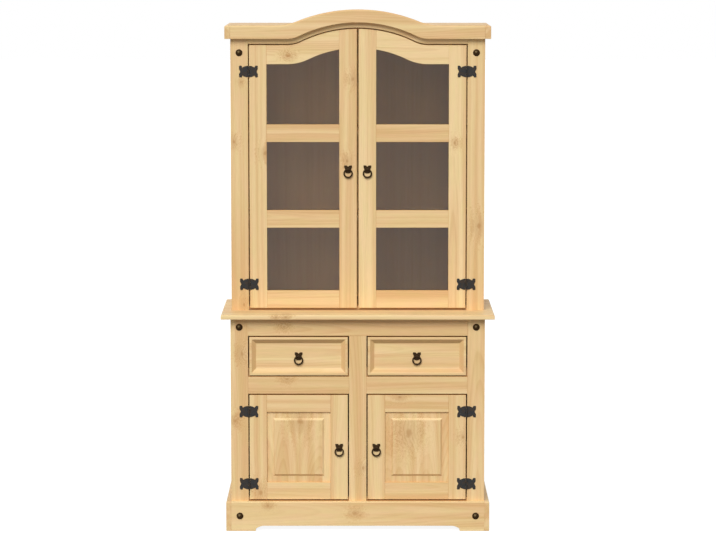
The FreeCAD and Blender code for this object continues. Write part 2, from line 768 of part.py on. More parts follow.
def upper_door():
    """The left glazed door: its pieces by name."""
    y = (UPPER_FRONT, f"{UPPER_FRONT} + door_thickness")
    outer, inner = f"(-{OPENING_HALF} + door_gap)", "(-meeting_gap / 2)"
    pane_left, pane_right = f"({outer} + door_member_width)", f"({inner} - meeting_stile_width)"
    between = (pane_left, pane_right)

    rails = [box(
        "door_bottom_rail", between, y, (UPPER_DOOR_BOTTOM, f"{UPPER_DOOR_BOTTOM} + bottom_rail_width"),
    )]
    edges = [f"({UPPER_DOOR_BOTTOM} + bottom_rail_width)"]
    for name, share in (("low", "lower_cross_rail_share"), ("high", "upper_cross_rail_share")):
        middle = f"({UPPER_DOOR_BOTTOM} + {share} * {UPPER_DOOR_HEIGHT})"
        low, high = f"({middle} - cross_rail_width / 2)", f"({middle} + cross_rail_width / 2)"
        rails.append(box(f"door_cross_rail_{name}", between, y, (low, high)))
        edges += [low, high]

    glass_y = (f"{UPPER_FRONT} + glass_setback", f"{UPPER_FRONT} + glass_setback + glass_thickness")
    glass_left, glass_right = f"({pane_left} - groove_depth)", f"({pane_right} + groove_depth)"
    panes = []
    for name, low, high in (("low", edges[0], edges[1]), ("middle", edges[2], edges[3])):
        pane_z = (f"{low} - groove_depth", f"{high} + groove_depth")
        panes.append(box(f"door_pane_{name}", (glass_left, glass_right), glass_y, pane_z))
    top_pane_edge = [
        (glass_left, f"{edges[4]} - groove_depth"),
        (glass_right, f"{edges[4]} - groove_depth"),
        *bedded_arch.left_half_outwards(glass_right),
        (glass_left, bedded_arch.level),
    ]
    top_pane = cut_board("door_pane_top", "XZ_Plane", top_pane_edge, "glass_thickness", reverse=True)
    move(top_pane, y=glass_y[0])
    glass = group("door_glass", [*panes, top_pane])

    top_rail_edge = [
        (pane_left, GLASS_LEVEL),
        *glass_arch.left_half_inwards(pane_right),
        *door_arch.left_half_outwards(pane_right),
        (pane_left, UPPER_DOOR_TOP),
    ]
    top_rail = cut_board("door_top_rail", "XZ_Plane", top_rail_edge, "door_thickness", reverse=True)
    move(top_rail, y=UPPER_FRONT)
    inner_edge = [
        (pane_right, UPPER_DOOR_BOTTOM),
        (inner, UPPER_DOOR_BOTTOM),
        (inner, door_arch.height_at(inner), door_arch.crown_radius, 1),
        (pane_right, door_arch.height_at(pane_right)),
    ]
    inner_stile = cut_board("door_inner_stile", "XZ_Plane", inner_edge, "door_thickness", reverse=True)
    move(inner_stile, y=UPPER_FRONT)
    outer_stile = box("door_outer_stile", (outer, pane_left), y, (UPPER_DOOR_BOTTOM, UPPER_DOOR_TOP))

    pull_x = f"(({inner} + {pane_right}) / 2)"
    pull_z = f"({UPPER_DOOR_BOTTOM} + upper_pull_height_share * {UPPER_DOOR_HEIGHT})"
    pull_plate, ring = pull("upper_pull", pull_x, UPPER_FRONT, pull_z)
    return {
        "stiles": cut("door_stiles", group("door_stile_set", [outer_stile, inner_stile]), glass),
        "top_rail": cut("door_top_rail_grooved", top_rail, glass),
        "cross_rails": cut("door_cross_rails", group("door_rail_set", rails), glass),
        "glass": glass,
        "pull_plate": pull_plate,
        "ring": ring,
    }


def lower_door():
    """The left panelled door: its pieces by name."""
    y = (LOWER_FRONT, f"{LOWER_FRONT} + door_thickness")
    outer, inner = f"(-{OPENING_HALF} + door_gap)", f"(-{CENTRE_HALF} - door_gap)"
    bottom, top = LOWER_DOOR_BOTTOM, f"({LOWER_OPENING_TOP} - door_gap)"
    left, right = f"({outer} + door_member_width)", f"({inner} - door_member_width)"
    low, high = f"({bottom} + door_member_width)", f"({top} - door_member_width)"

    tongue_front = f"({LOWER_FRONT} + panel_tongue_setback)"
    tongue = box(
        "panel_tongue",
        (f"{left} - groove_depth", f"{right} + groove_depth"),
        (tongue_front, f"{tongue_front} + panel_tongue_thickness"),
        (f"{low} - groove_depth", f"{high} + groove_depth"),
    )
    bevel_front = f"({LOWER_FRONT} + panel_bevel_setback)"
    slope_y = (tongue_front, bevel_front)
    slope = tapered("panel_slope", (left, right), slope_y, (low, high), "panel_bevel_width")
    field = tapered(
        "panel_field",
        (f"({left} + panel_bevel_width)", f"({right} - panel_bevel_width)"),
        (bevel_front, f"({LOWER_FRONT} + panel_field_setback)"),
        (f"({low} + panel_bevel_width)", f"({high} - panel_bevel_width)"),
        "panel_step_width",
    )
    panel = fused("door_panel", [tongue, slope, field])

    stiles = group("panel_door_stile_set", [
        box("panel_door_outer_stile", (outer, left), y, (bottom, top)),
        box("panel_door_inner_stile", (right, inner), y, (bottom, top)),
    ])
    rails = group("panel_door_rail_set", [
        box("panel_door_bottom_rail", (left, right), y, (bottom, low)),
        box("panel_door_top_rail", (left, right), y, (high, top)),
    ])
    pull_x, pull_z = f"(({inner} + {right}) / 2)", f"(({bottom} + {top}) / 2 - lower_pull_drop)"
    pull_plate, ring = pull("lower_pull", pull_x, LOWER_FRONT, pull_z)
    return {
        "stiles": cut("panel_door_stiles", stiles, tongue),
        "rails": cut("panel_door_rails", rails, tongue),
        "panel": panel,
        "pull_plate": pull_plate,
        "ring": ring,
    }


# Drawer lines that the boxes and the runners share
DRAWER_LEFT = f"(-{OPENING_HALF} + door_gap)"
DRAWER_RIGHT = f"(-{CENTRE_HALF} - door_gap)"
DRAWER_BOTTOM = f"({DRAWER_OPENING_BOTTOM} + door_gap)"
DRAWER_TOP = f"({DRAWER_OPENING_TOP} - door_gap)"
BOX_LEFT = f"({DRAWER_LEFT} + drawer_box_inset)"
BOX_RIGHT = f"({DRAWER_RIGHT} - drawer_box_inset)"
BOX_BOTTOM = f"({DRAWER_BOTTOM} + drawer_box_lift)"


def drawer():
    """The left drawer: its pieces by name."""
    front_back = f"({LOWER_FRONT} + door_thickness)"
    box_back = f"({front_back} + drawer_box_length)"
    blank = box(
        "drawer_front_blank",
        (DRAWER_LEFT, DRAWER_RIGHT),
        (LOWER_FRONT, front_back),
        (DRAWER_BOTTOM, DRAWER_TOP),
    )
    slope_foot = f"({LOWER_FRONT} + drawer_slope_depth)"
    recess_floor = f"({LOWER_FRONT} + drawer_recess_depth)"
    slope = tapered(
        "drawer_slope",
        (f"({DRAWER_LEFT} + drawer_rim_width)", f"({DRAWER_RIGHT} - drawer_rim_width)"),
        (LOWER_FRONT, slope_foot),
        (f"({DRAWER_BOTTOM} + drawer_rim_width)", f"({DRAWER_TOP} - drawer_rim_width)"),
        "drawer_slope_width",
    )
    margin = "(drawer_rim_width + drawer_slope_width)"
    cove = tapered(
        "drawer_cove",
        (f"({DRAWER_LEFT} + {margin})", f"({DRAWER_RIGHT} - {margin})"),
        (slope_foot, recess_floor),
        (f"({DRAWER_BOTTOM} + {margin})", f"({DRAWER_TOP} - {margin})"),
        "drawer_cove_width",
    )
    recess = fused("drawer_recess", [slope, cove])

    inner_left = f"({BOX_LEFT} + drawer_side_thickness)"
    inner_right = f"({BOX_RIGHT} - drawer_side_thickness)"
    box_z = (BOX_BOTTOM, f"{BOX_BOTTOM} + drawer_box_height")
    bottom_z = f"({BOX_BOTTOM} + drawer_bottom_rise)"
    bottom = box(
        "drawer_base",
        (f"{inner_left} - drawer_groove_depth", f"{inner_right} + drawer_groove_depth"),
        (f"{front_back} - drawer_groove_depth", f"{box_back} - drawer_side_thickness + drawer_groove_depth"),
        (bottom_z, f"{bottom_z} + drawer_bottom_thickness"),
    )
    walls = group("drawer_walls", [
        box("drawer_outer_side", (BOX_LEFT, inner_left), (front_back, box_back), box_z),
        box("drawer_inner_side", (inner_right, BOX_RIGHT), (front_back, box_back), box_z),
        box(
            "drawer_back",
            (inner_left, inner_right),
            (f"{box_back} - drawer_side_thickness", box_back),
            box_z,
        ),
    ])
    pull_x = f"(({DRAWER_LEFT} + {DRAWER_RIGHT}) / 2)"
    pull_z = f"(({DRAWER_BOTTOM} + {DRAWER_TOP}) / 2 - lower_pull_drop)"
    pull_plate, ring = pull("drawer_pull", pull_x, recess_floor, pull_z)
    sunk_front = cut("drawer_sunk_front", blank, recess)
    return {
        "front": cut("drawer_front", sunk_front, bottom),
        "box": cut("drawer_box", walls, bottom),
        "bottom": bottom,
        "pull_plate": pull_plate,
        "ring": ring,
    }


def make_runners():
    """L-shaped runners, one under each drawer side with a guide beside it."""
    ledge_z = (f"{BOX_BOTTOM} - runner_clearance - runner_thickness", f"{BOX_BOTTOM} - runner_clearance")
    guide_z = (ledge_z[1], f"{BOX_BOTTOM} + runner_guide_rise")
    y = (LOWER_INSIDE, BACK_PANEL)
    outer = fused("outer_runner", [
        box("outer_ledge", (f"-{INSIDE_HALF}", f"{BOX_LEFT} + runner_ledge_width"), y, ledge_z),
        box("outer_guide", (f"-{INSIDE_HALF}", f"{BOX_LEFT} - guide_clearance"), y, guide_z),
    ])
    inner = fused("inner_runner", [
        box("inner_ledge", (f"{BOX_RIGHT} - runner_ledge_width", f"-{DIVIDER_HALF}"), y, ledge_z),
        box("inner_guide", (f"{BOX_RIGHT} + guide_clearance", f"-{DIVIDER_HALF}"), y, guide_z),
    ])
    node("drawer_runners", both("runner_pairs", group("left_runners", [outer, inner])))


def make_hinges():
    """All the hinges. Gives the door leaves of the left upper and left lower door."""
    lower_door_height = f"({LOWER_OPENING_TOP} - door_gap - {LOWER_DOOR_BOTTOM})"
    places = (
        ("upper", UPPER_FRONT, UPPER_DOOR_BOTTOM, UPPER_DOOR_HEIGHT),
        ("lower", LOWER_FRONT, LOWER_DOOR_BOTTOM, lower_door_height),
    )
    frame_leaves, door_leaves = [], {}
    for door, face, bottom, height in places:
        leaves = []
        for end in ("low", "high"):
            z = f"({bottom} + {door}_hinge_{end}_share * {height})"
            frame_leaf, door_leaf = hinge(f"{door}_{end}_hinge", face, z)
            frame_leaves.append(frame_leaf)
            leaves.append(door_leaf)
        door_leaves[door] = group(door + "_door_leaves", leaves)
    node("hinge_frame_leaves", both("frame_leaf_pairs", group("left_frame_leaves", frame_leaves)))
    return door_leaves


def add_left_and_right(kind, pieces):
    """Name the left door's or drawer's pieces and add their mirror images."""
    for name, piece in pieces.items():
        node(kind.replace("SIDE", "left") + "_" + name, piece)
        image = mirrored(kind.replace("SIDE", "right") + "_" + name, piece)
        node(kind.replace("SIDE", "right") + "_" + name, image)


make_table_top()
iron_studs = make_studs()
make_base(iron_studs)
make_plinth(iron_studs)
make_upper_case(iron_studs)
make_cornice()
make_runners()
hinge_leaves = make_hinges()
add_left_and_right("upper_SIDE_door", {**upper_door(), "hinge_leaves": hinge_leaves["upper"]})
add_left_and_right("lower_SIDE_door", {**lower_door(), "hinge_leaves": hinge_leaves["lower"]})
add_left_and_right("SIDE_drawer", drawer())
doc.recompute()

for thing in doc.Objects:
    if "Invalid" in thing.State or "Error" in thing.State:
        raise RuntimeError(f"{thing.Label} failed: {thing.State}")
for piece in nodes:
    if piece.Shape.isNull() or not piece.Shape.isValid():
        raise RuntimeError(f"{piece.Label} has no valid shape")

os.makedirs("parts", exist_ok=True)
for piece in nodes:
    piece.Shape.exportStep(f"parts/{piece.Label}.step")
print(len(nodes), "sub-parts written")
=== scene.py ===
"""Looks of the two-part pine trastero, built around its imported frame.

Metres. X runs to the right, the front faces -Y and Z is up.
"""
import math
from functools import reduce
from typing import NamedTuple

import bmesh
import bpy
from bpy.props import FloatProperty, FloatVectorProperty, PointerProperty
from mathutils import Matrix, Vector


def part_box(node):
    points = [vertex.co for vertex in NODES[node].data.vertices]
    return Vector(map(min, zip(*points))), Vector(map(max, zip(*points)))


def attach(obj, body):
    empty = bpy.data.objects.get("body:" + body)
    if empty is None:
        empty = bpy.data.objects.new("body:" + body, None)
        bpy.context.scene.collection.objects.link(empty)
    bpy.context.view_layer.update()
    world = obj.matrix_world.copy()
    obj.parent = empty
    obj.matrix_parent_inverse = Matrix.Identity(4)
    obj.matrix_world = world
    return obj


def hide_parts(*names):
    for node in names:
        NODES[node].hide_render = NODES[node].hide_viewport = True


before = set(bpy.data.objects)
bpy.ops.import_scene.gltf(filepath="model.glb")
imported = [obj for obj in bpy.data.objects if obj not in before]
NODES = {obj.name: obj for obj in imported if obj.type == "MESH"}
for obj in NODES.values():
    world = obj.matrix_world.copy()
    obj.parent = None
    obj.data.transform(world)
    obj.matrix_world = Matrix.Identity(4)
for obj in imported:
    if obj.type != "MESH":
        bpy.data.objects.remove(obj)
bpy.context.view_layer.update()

bl_info = {
    "name": "Pine Trastero",
    "version": (1, 0, 0),
    "blender": (4, 5, 0),
    "location": "3D View > Sidebar > Trastero",
    "description": "Dresses the packed frame of a glazed pine cabinet on its base",
    "category": "Object",
}

SIDES = ("left", "right")
DOORS = [f"{tier}_{side}_door" for tier in ("upper", "lower") for side in SIDES]
DRAWERS = [side + "_drawer" for side in SIDES]


class Sawn(NamedTuple):
    """How the boards of a wooden node are sawn.

    The node is cut into boards of one size, counted from a corner. A zero size means that the
    node has one board that way.
    """
    axes: str  # along the grain, across it and into the board
    board: tuple = (0, 0, 0)
    corner: tuple = (0, 0, 0)
    depth: float = 0.0  # how deep the colour is, from 0 for pale to 1 for honey


BOARDS = {
    "table_top": Sawn("XYZ", (0, 0.0921, 0), (0, -0.2303, 0)),
    "roof_board": Sawn("XYZ", (0, 0.1, 0), (0, -0.07, 0)),
    "upper_floor": Sawn("XYZ", (0, 0.1, 0), (0, -0.07, 0)),
    "lower_floor": Sawn("XYZ", (0, 0.1, 0), (0, -0.175, 0)),
    "upper_shelves": Sawn("XYZ", (0, 0.092, 0.2), (0, -0.05, 1.06)),
    "lower_shelves": Sawn("XYZ", (1, 0.095, 0), (0, -0.155, 0)),
    "lower_sides": Sawn("ZYX", (1, 0.1013, 0), (0, -0.175, 0), 0.1),
    "upper_sides": Sawn("ZYX", (1, 0.1, 0), (0, -0.07, 0), 0.1),
    "lower_divider": Sawn("ZYX", (0, 0.1, 0), (0, -0.175, 0), 0.1),
    "drawer_runners": Sawn("YZX", (0.2, 0, 0), (0.1, 0, 0), 0.3),
    "plinth_sides": Sawn("YZX", (1, 0, 0), depth=0.2),
    "cornice_sides": Sawn("YZX", (1, 0, 0), depth=0.2),
    "plinth_front": Sawn("XZY", depth=0.25),
    "cornice_front": Sawn("XZY", depth=0.05),
    "arched_fascia": Sawn("XZY", depth=0.3),
    "lower_top_rail": Sawn("XZY", depth=0.05),
    "lower_mid_rails": Sawn("XZY", (1, 0, 0), depth=0.3),
    "lower_bottom_rail": Sawn("XZY", depth=0.3),
    "lower_stiles": Sawn("ZXY", (0.44, 0, 0), (-0.66, 0, 0), 0.1),
    "upper_stiles": Sawn("ZXY", (1, 0, 0), depth=0.03),
}
LEFT_AND_RIGHT_BOARDS = {
    "upper_SIDE_door_stiles": Sawn("ZXY", (0.4, 0, 0), (-0.2, 0, 0), -0.02),
    "upper_SIDE_door_top_rail": Sawn("XZY", depth=-0.3),
    "upper_SIDE_door_cross_rails": Sawn("XZY", (0, 0, 0.3), (0, 0, 0.75), 0.3),
    "lower_SIDE_door_stiles": Sawn("ZXY", (0.44, 0, 0), (-0.22, 0, 0), 0.1),
    "lower_SIDE_door_rails": Sawn("XZY", (0, 0, 0.3), depth=0.3),
    "lower_SIDE_door_panel": Sawn("ZXY", (0.0885, 0, 0), (-0.3098, 0, 0), 0.15),
    "SIDE_drawer_front": Sawn("XZY", depth=0.1),
    "SIDE_drawer_box": Sawn("YZX", (0.44, 0, 0), (-0.22, 0, 0), 0.1),
}
BOARDS.update({
    pattern.replace("SIDE", side): sawn
    for pattern, sawn in LEFT_AND_RIGHT_BOARDS.items() for side in SIDES
})
VENEERS = {
    "upper_back_panel": Sawn("ZXY", (0.31, 0, 0), (-0.155, 0, 0), -0.2),
    "lower_back_panel": Sawn("ZXY", (0.31, 0, 0), (-0.155, 0, 0), -0.2),
    "left_drawer_bottom": Sawn("XYZ", (0, 0.2, 0), depth=-0.2),
    "right_drawer_bottom": Sawn("XYZ", (0, 0.2, 0), depth=-0.2),
}

# Knots on the front of each node: X, Z and radius.
KNOTS = {
    "upper_left_door_top_rail": [(-0.260, 1.777, 0.007)],
    "upper_left_door_stiles": [
        (-0.018, 1.691, 0.009), (-0.346, 1.414, 0.010), (-0.040, 1.384, 0.008)],
    "upper_right_door_stiles": [(0.364, 1.452, 0.007)],
    "upper_stiles": [
        (-0.436, 1.680, 0.005), (-0.463, 1.456, 0.008), (0.455, 1.140, 0.014),
        (-0.428, 0.841, 0.008)],
    "table_top": [(-0.304, 0.812, 0.005), (-0.268, 0.813, 0.006)],
    "lower_top_rail": [(-0.275, 0.772, 0.006)],
    "lower_mid_rails": [(-0.265, 0.575, 0.007)],
    "lower_stiles": [(-0.432, 0.670, 0.009), (-0.460, 0.416, 0.008), (0.020, 0.237, 0.008)],
    "lower_left_door_panel": [(-0.216, 0.416, 0.017)],
    "lower_left_door_stiles": [(-0.364, 0.142, 0.012)],
    "lower_right_door_panel": [(0.192, 0.370, 0.020)],
    "lower_right_door_rails": [(0.158, 0.507, 0.008)],
    "lower_right_door_stiles": [(0.395, 0.355, 0.008)],
    "plinth_front": [(-0.337, 0.096, 0.007), (-0.010, 0.069, 0.008)],
}
SCATTERED_KNOTS = {
    "table_top", "roof_board", "upper_floor", "lower_floor", "upper_shelves", "lower_shelves",
    "lower_sides", "upper_sides", "lower_divider", "plinth_sides",
}

# Where each mark of a knot is full and where it is gone, in radiuses of that knot.
KNOT_BEND = (0.0, 5.0)
KNOT_LINES = (0.8, 5.0)
KNOT_RESIN = (0.6, 3.2)
KNOT_HARD = (0.5, 0.9)
KNOT_HEART = (0.25, 0.8)
NO_KNOT = 9.0  # further away than any of these marks reaches
# A knot is long along the grain and deep into its board, so distances count for less that way.
KNOT_ALONG, KNOT_INTO_FRONT, KNOT_INTO_TOP = 0.7, 0.08, 0.4
# Its outline is ragged: the bumps to a metre, and what they multiply the distance by.
KNOT_BUMPS, KNOT_RAGGED = 110.0, (0.35, 1.65)
# Scattered knots: how many places to a metre there are for one along and across, which chances
# fill a place, and how wide the knot is for its place.
SCATTER_ALONG, SCATTER_ACROSS = 2.3, 3.4
SCATTER_CHANCES, SCATTER_SIZES = (0.35, 1.0), (0.001, 0.03)

# The heart of the tree: how steeply it leans, how far behind the board it lies, and how far to
# one side of its middle. It leans more behind the raised panels, which makes flames.
HEART_LEAN = (0.006, 0.026)
HEART_BEHIND = (0.025, 0.095)
HEART_BESIDE = 0.045
PANEL_LEAN = 5.0
# How far the rings wander, swell with good growth, and bend round a knot.
RING_DRIFT, RING_SWELL, RING_BEND = 0.011, 0.006, 0.017
# The hard line in each ring: where it rises, how sharply, and where it ends.
LINE_RISE, LINE_SHARPNESS, LINE_END = (0.25, 0.86), 1.6, (0.88, 1.0)
# Spells of good and of poor growth to a metre of radius.
SPELLS = 34.0
# Swings to a metre along the grain, across it and into the board.
DRIFT_SWINGS = (1.6, 9.0, 1.0)
STREAK_SWINGS = (0.9, 46.0, 46.0)
CLOUD_SWINGS = (9.0, 38.0, 38.0)
FIBRE_SWINGS = (24.0, 620.0, 620.0)
# How far a board's chances may move it along the tree and through the spells.
TREE_SHIFT, SPELL_SHIFT = 17.0, 40.0

# The figure is growth with streaks: the share of growth, and where in it the wood turns warm.
GROWTH_SHARE, WARM_FIGURE = 0.55, (0.36, 0.66)
# How much deeper the warm figure is, and how far a board's own chance moves its depth.
WARM_DEPTH, OWN_DEPTH = 0.8, 0.15
# How strong the lines are in pale and in warm wood, and how many times that far from a knot
# and beside it.
LINE_SHARES, LINES_BY_KNOTS = (0.10, 0.30), (1.0, 3.6)
# Shades of the fibres, and the clouds: where they turn, from greener wood to pinker.
FIBRE_SHADES = (0.92, 1.08)
CLOUD_TURN, GREENER, PINKER = (0.3, 0.7), (0.97, 1.0, 0.94), (1.0, 0.982, 0.985)
# Resin round a knot and end grain: the shade of honey wood, and how much of it shows.
RESIN_SHADE, RESIN_SHARE = 0.84, 0.5
END_GRAIN_SHADE, END_GRAIN_SHARE = 0.8, 0.10
HEART_SHARE = 0.55
# Least and most roughness of the fibres, and what hard wood and a sawn edge add to it.
SATIN, HARD_POLISH, SAWN_ROUGHNESS = (0.44, 0.58), -0.06, 0.45
LINE_HEIGHT, FIBRE_HEIGHT = 0.35, 0.5

# Words in the names of nodes whose sawn edges show in gaps and carry painted shade, and how far out
# the gaps end.
FRAMING = ("stiles", "rail", "fascia", "drawer_front")
OUTSIDE = 0.47
# How far a face looks to the front where it stops being an edge, and along the grain where it
# turns into end grain.
EDGE_FACES = (0.25, 0.6)
END_FACES = (0.6, 0.9)
# How much deeper the colour is on the faces that look up, as painted shade on the cornice and roof
# and, paler, as a painted highlight on the plinth's ledge; and at the lower end of a node.
PAINTED_TOP_LIGHT = {"plinth_front": -1.0, "cornice_front": 0.35, "cornice_sides": 0.35, "roof_board": 0.35}
TOP_FACES = (0.4, 0.7)
# At the lower end the plinth front is paler, as painted light from the floor, and the upper stiles
# are deeper.
LOWER_ENDS = {"upper_stiles": 0.5, "plinth_front": -0.6}
# How much paler a raised panel is on a bevel that looks straight up, as a painted highlight, and
# deeper below, as painted shade.
PAINTED_BEVEL_LIGHT = 2.0
# The slopes round a sunk drawer front: how little they look to the front, how far the top one
# and the bottom one look down and up, how much deeper these are as painted shade, and the
# painted shade multiplied into the top one.
SLOPE_FACES = (0.82, 0.95)
SLOPE_TILTS, SLOPE_PAINTED_SHADES = (-0.5, 0.5), (1.2, 0.3)
DOWN_FACES, TOP_SLOPE_PAINTED_SHADE = (-0.6, -0.3), (0.84, 0.83, 0.80)
# How strong the grain is on wide boards and on veneer, and how many times wider the rings of
# veneer are, because it is peeled.
WIDE_BOARDS = {"lower_sides", "upper_sides", "lower_divider"}
WIDE_FIGURE, VENEER_FIGURE, PEELED_RINGS = 0.65, 0.35, 3
# The relief of the grain, and the rounding of the edges: nodes with a wider one, the angle from
# which an edge is rounded, and the angle up to which faces are one.
GRAIN_RELIEF = 0.0004
WIDER_EDGES = {"table_top": 0.0015}
EDGE_ANGLE, FACE_ANGLE = math.radians(25), math.radians(0.5)

# Each finish of the iron: its name, least and most brown bloom, shine, and how strong the
# painted highlight on its crowns is.
IRONS = {
    "black": ("Hammered black iron", (0.0, 0.5), 0.34, 0.0),
    "worn": ("Worn brown iron", (0.9, 1.0), 0.12, 0.0),
    "waxed": ("Waxed dark iron", (0.9, 1.0), 0.06, 0.8),
}
# Where the painted highlight on the crowns faces, towards the camera and a little up, and how
# straight the iron faces that way where the highlight starts and where it is full.
CROWN_FACING, CROWN_FACES = (-0.08, -0.96, 0.26), (0.93, 0.995)
# Patches and grains of grit to a metre, and where in the patches the bloom starts and is full.
IRON_PATCHES, IRON_GRIT, BLOOM_TURN = 90.0, 1400.0, (0.4, 0.7)
# Roughness by the grit, what the patches add to it, and the height of grit and of dents.
GRIT_ROUGHNESS, PATCH_ROUGHNESS = (0.32, 0.48), 0.3
GRIT_HEIGHT, DENT_RELIEF = 0.12, 0.0006

# How thick the leaves of the frame's hinges are, and how long the shanks of its studs.
LEAF_THICKNESS, STUD_SHANK = 0.002, 0.014
LEAF_EDGE, PLATE_EDGE = 0.0004, 0.0005
# The nails of a hinge leaf: how far in from its tip, and how far up from its middle.
NAILS = ((0.0045, -0.0155), (0.0045, 0.0155), (0.0165, 0.0))
# The rise of a nail head and of its upright rim, as shares of its radius.
NAIL_RISE, NAIL_RIM = 0.45, 0.1
STUD_RIM = 0.0012
RING_STEPS, RING_SIDES = 56, 14
# How thick the bar of a ring is at its eye, compared with below.
EYE_THICKNESS = 0.8

# How dark the tint is in each door's panes, darkened as painted shade, most on the right door.
PANE_PAINTED_SHADES = {"left": 0.915, "right": 0.775}
GLASS_EDGE = 0.0004
# Waves and patches of film to a metre, where in the patches the film starts and is full, and
# how rough it makes the glass.
GLASS_WAVES, FILM_PATCHES = 7.0, 5.0
FILM_TURN, FILM_ROUGHNESS = (0.3, 0.7), 0.05

# Where the key light comes from and how wide it is, and where the camera stands.
KEY_FROM, KEY_SPREAD = (-0.17, -0.76, 0.627), math.radians(38)
CAMERA_PLACE, CAMERA_TILT = (0.001, -10.4321, 2.218), math.radians(83.138)
SENSOR = 36
FLOOR_SIZE, FLOOR_BACK = 60, 10
FLOOR_SPECKS, FLOOR_GREYS, FLOOR_GLOW = 3.0, (0.29, 0.31), 0.91
WHITE = (1.0, 1.0, 1.0, 1.0)

# How close two corners are to count as one: in the frame's meshes and in the forged ones.
SAME_CORNER, SAME_POINT = 1e-5, 1e-6


class TrasteroPine(bpy.types.PropertyGroup):
    """Colours and sizes of the pine"""
    pale: FloatVectorProperty(
        name="Pale wood", description="Colour of the early growth in each ring",
        subtype="COLOR", size=3, min=0, max=1, default=(0.905, 0.674, 0.362))
    honey: FloatVectorProperty(
        name="Honey wood", description="Colour of the warmer streaks along the grain",
        subtype="COLOR", size=3, min=0, max=1, default=(0.762, 0.484, 0.228))
    late: FloatVectorProperty(
        name="Ring lines", description="Colour of the hard line that ends each ring",
        subtype="COLOR", size=3, min=0, max=1, default=(0.600, 0.330, 0.120))
    knot: FloatVectorProperty(
        name="Knots", description="Colour of the middle of a knot",
        subtype="COLOR", size=3, min=0, max=1, default=(0.460, 0.225, 0.070))
    ring_width: FloatProperty(
        name="Ring width", description="Usual distance from one ring line to the next",
        subtype="DISTANCE", unit="LENGTH", min=0.001, default=0.0046)
    gap_shade_colour: FloatVectorProperty(
        name="Painted shade on sawn edges", description="Painted shade in the gaps, multiplied with the framing's wood",
        subtype="COLOR", size=3, min=0, max=1, default=(0.95, 0.74, 0.40))
    edge: FloatProperty(
        name="Eased edge", description="Width of the rounding along the boards' edges",
        subtype="DISTANCE", unit="LENGTH", min=0.0001, default=0.0012)


class TrasteroIron(bpy.types.PropertyGroup):
    """Colours and sizes of the iron"""
    colour: FloatVectorProperty(
        name="Blacking", description="Colour of the blackened iron",
        subtype="COLOR", size=3, min=0, max=1, default=(0.010, 0.010, 0.0105))
    rust: FloatVectorProperty(
        name="Brown bloom", description="Colour where the blacking is thin",
        subtype="COLOR", size=3, min=0, max=1, default=(0.042, 0.021, 0.006))
    crown: FloatVectorProperty(
        name="Painted crown highlight", description="Colour of the painted highlight on the crowns of the iron",
        subtype="COLOR", size=3, min=0, max=1, default=(0.250, 0.185, 0.090))
    dent: FloatProperty(
        name="Hammer mark", description="Width of one hammer mark",
        subtype="DISTANCE", unit="LENGTH", min=0.001, default=0.004)
    nail: FloatProperty(
        name="Nail head", description="Radius of the nail heads on the hinges",
        subtype="DISTANCE", unit="LENGTH", min=0.0005, default=0.0019)


class TrasteroGlass(bpy.types.PropertyGroup):
    """Colour of the panes"""
    tint: FloatVectorProperty(
        name="Tint", description="Colour of the light that passes through one pane",
        subtype="COLOR", size=3, min=0, max=1, default=(0.62, 0.56, 0.50))


class TrasteroStage(bpy.types.PropertyGroup):
    """Light and camera"""
    lens: FloatProperty(
        name="Lens", description="Focal length of the camera on a 36 mm sensor",
        unit="CAMERA", min=1, default=139.24)
    sky: FloatProperty(
        name="Room light", description="Strength of the even light from all round",
        min=0, default=0.32)
    key: FloatProperty(
        name="Key light", description="Strength of the soft lamp from the upper left",
        min=0, default=2.58)


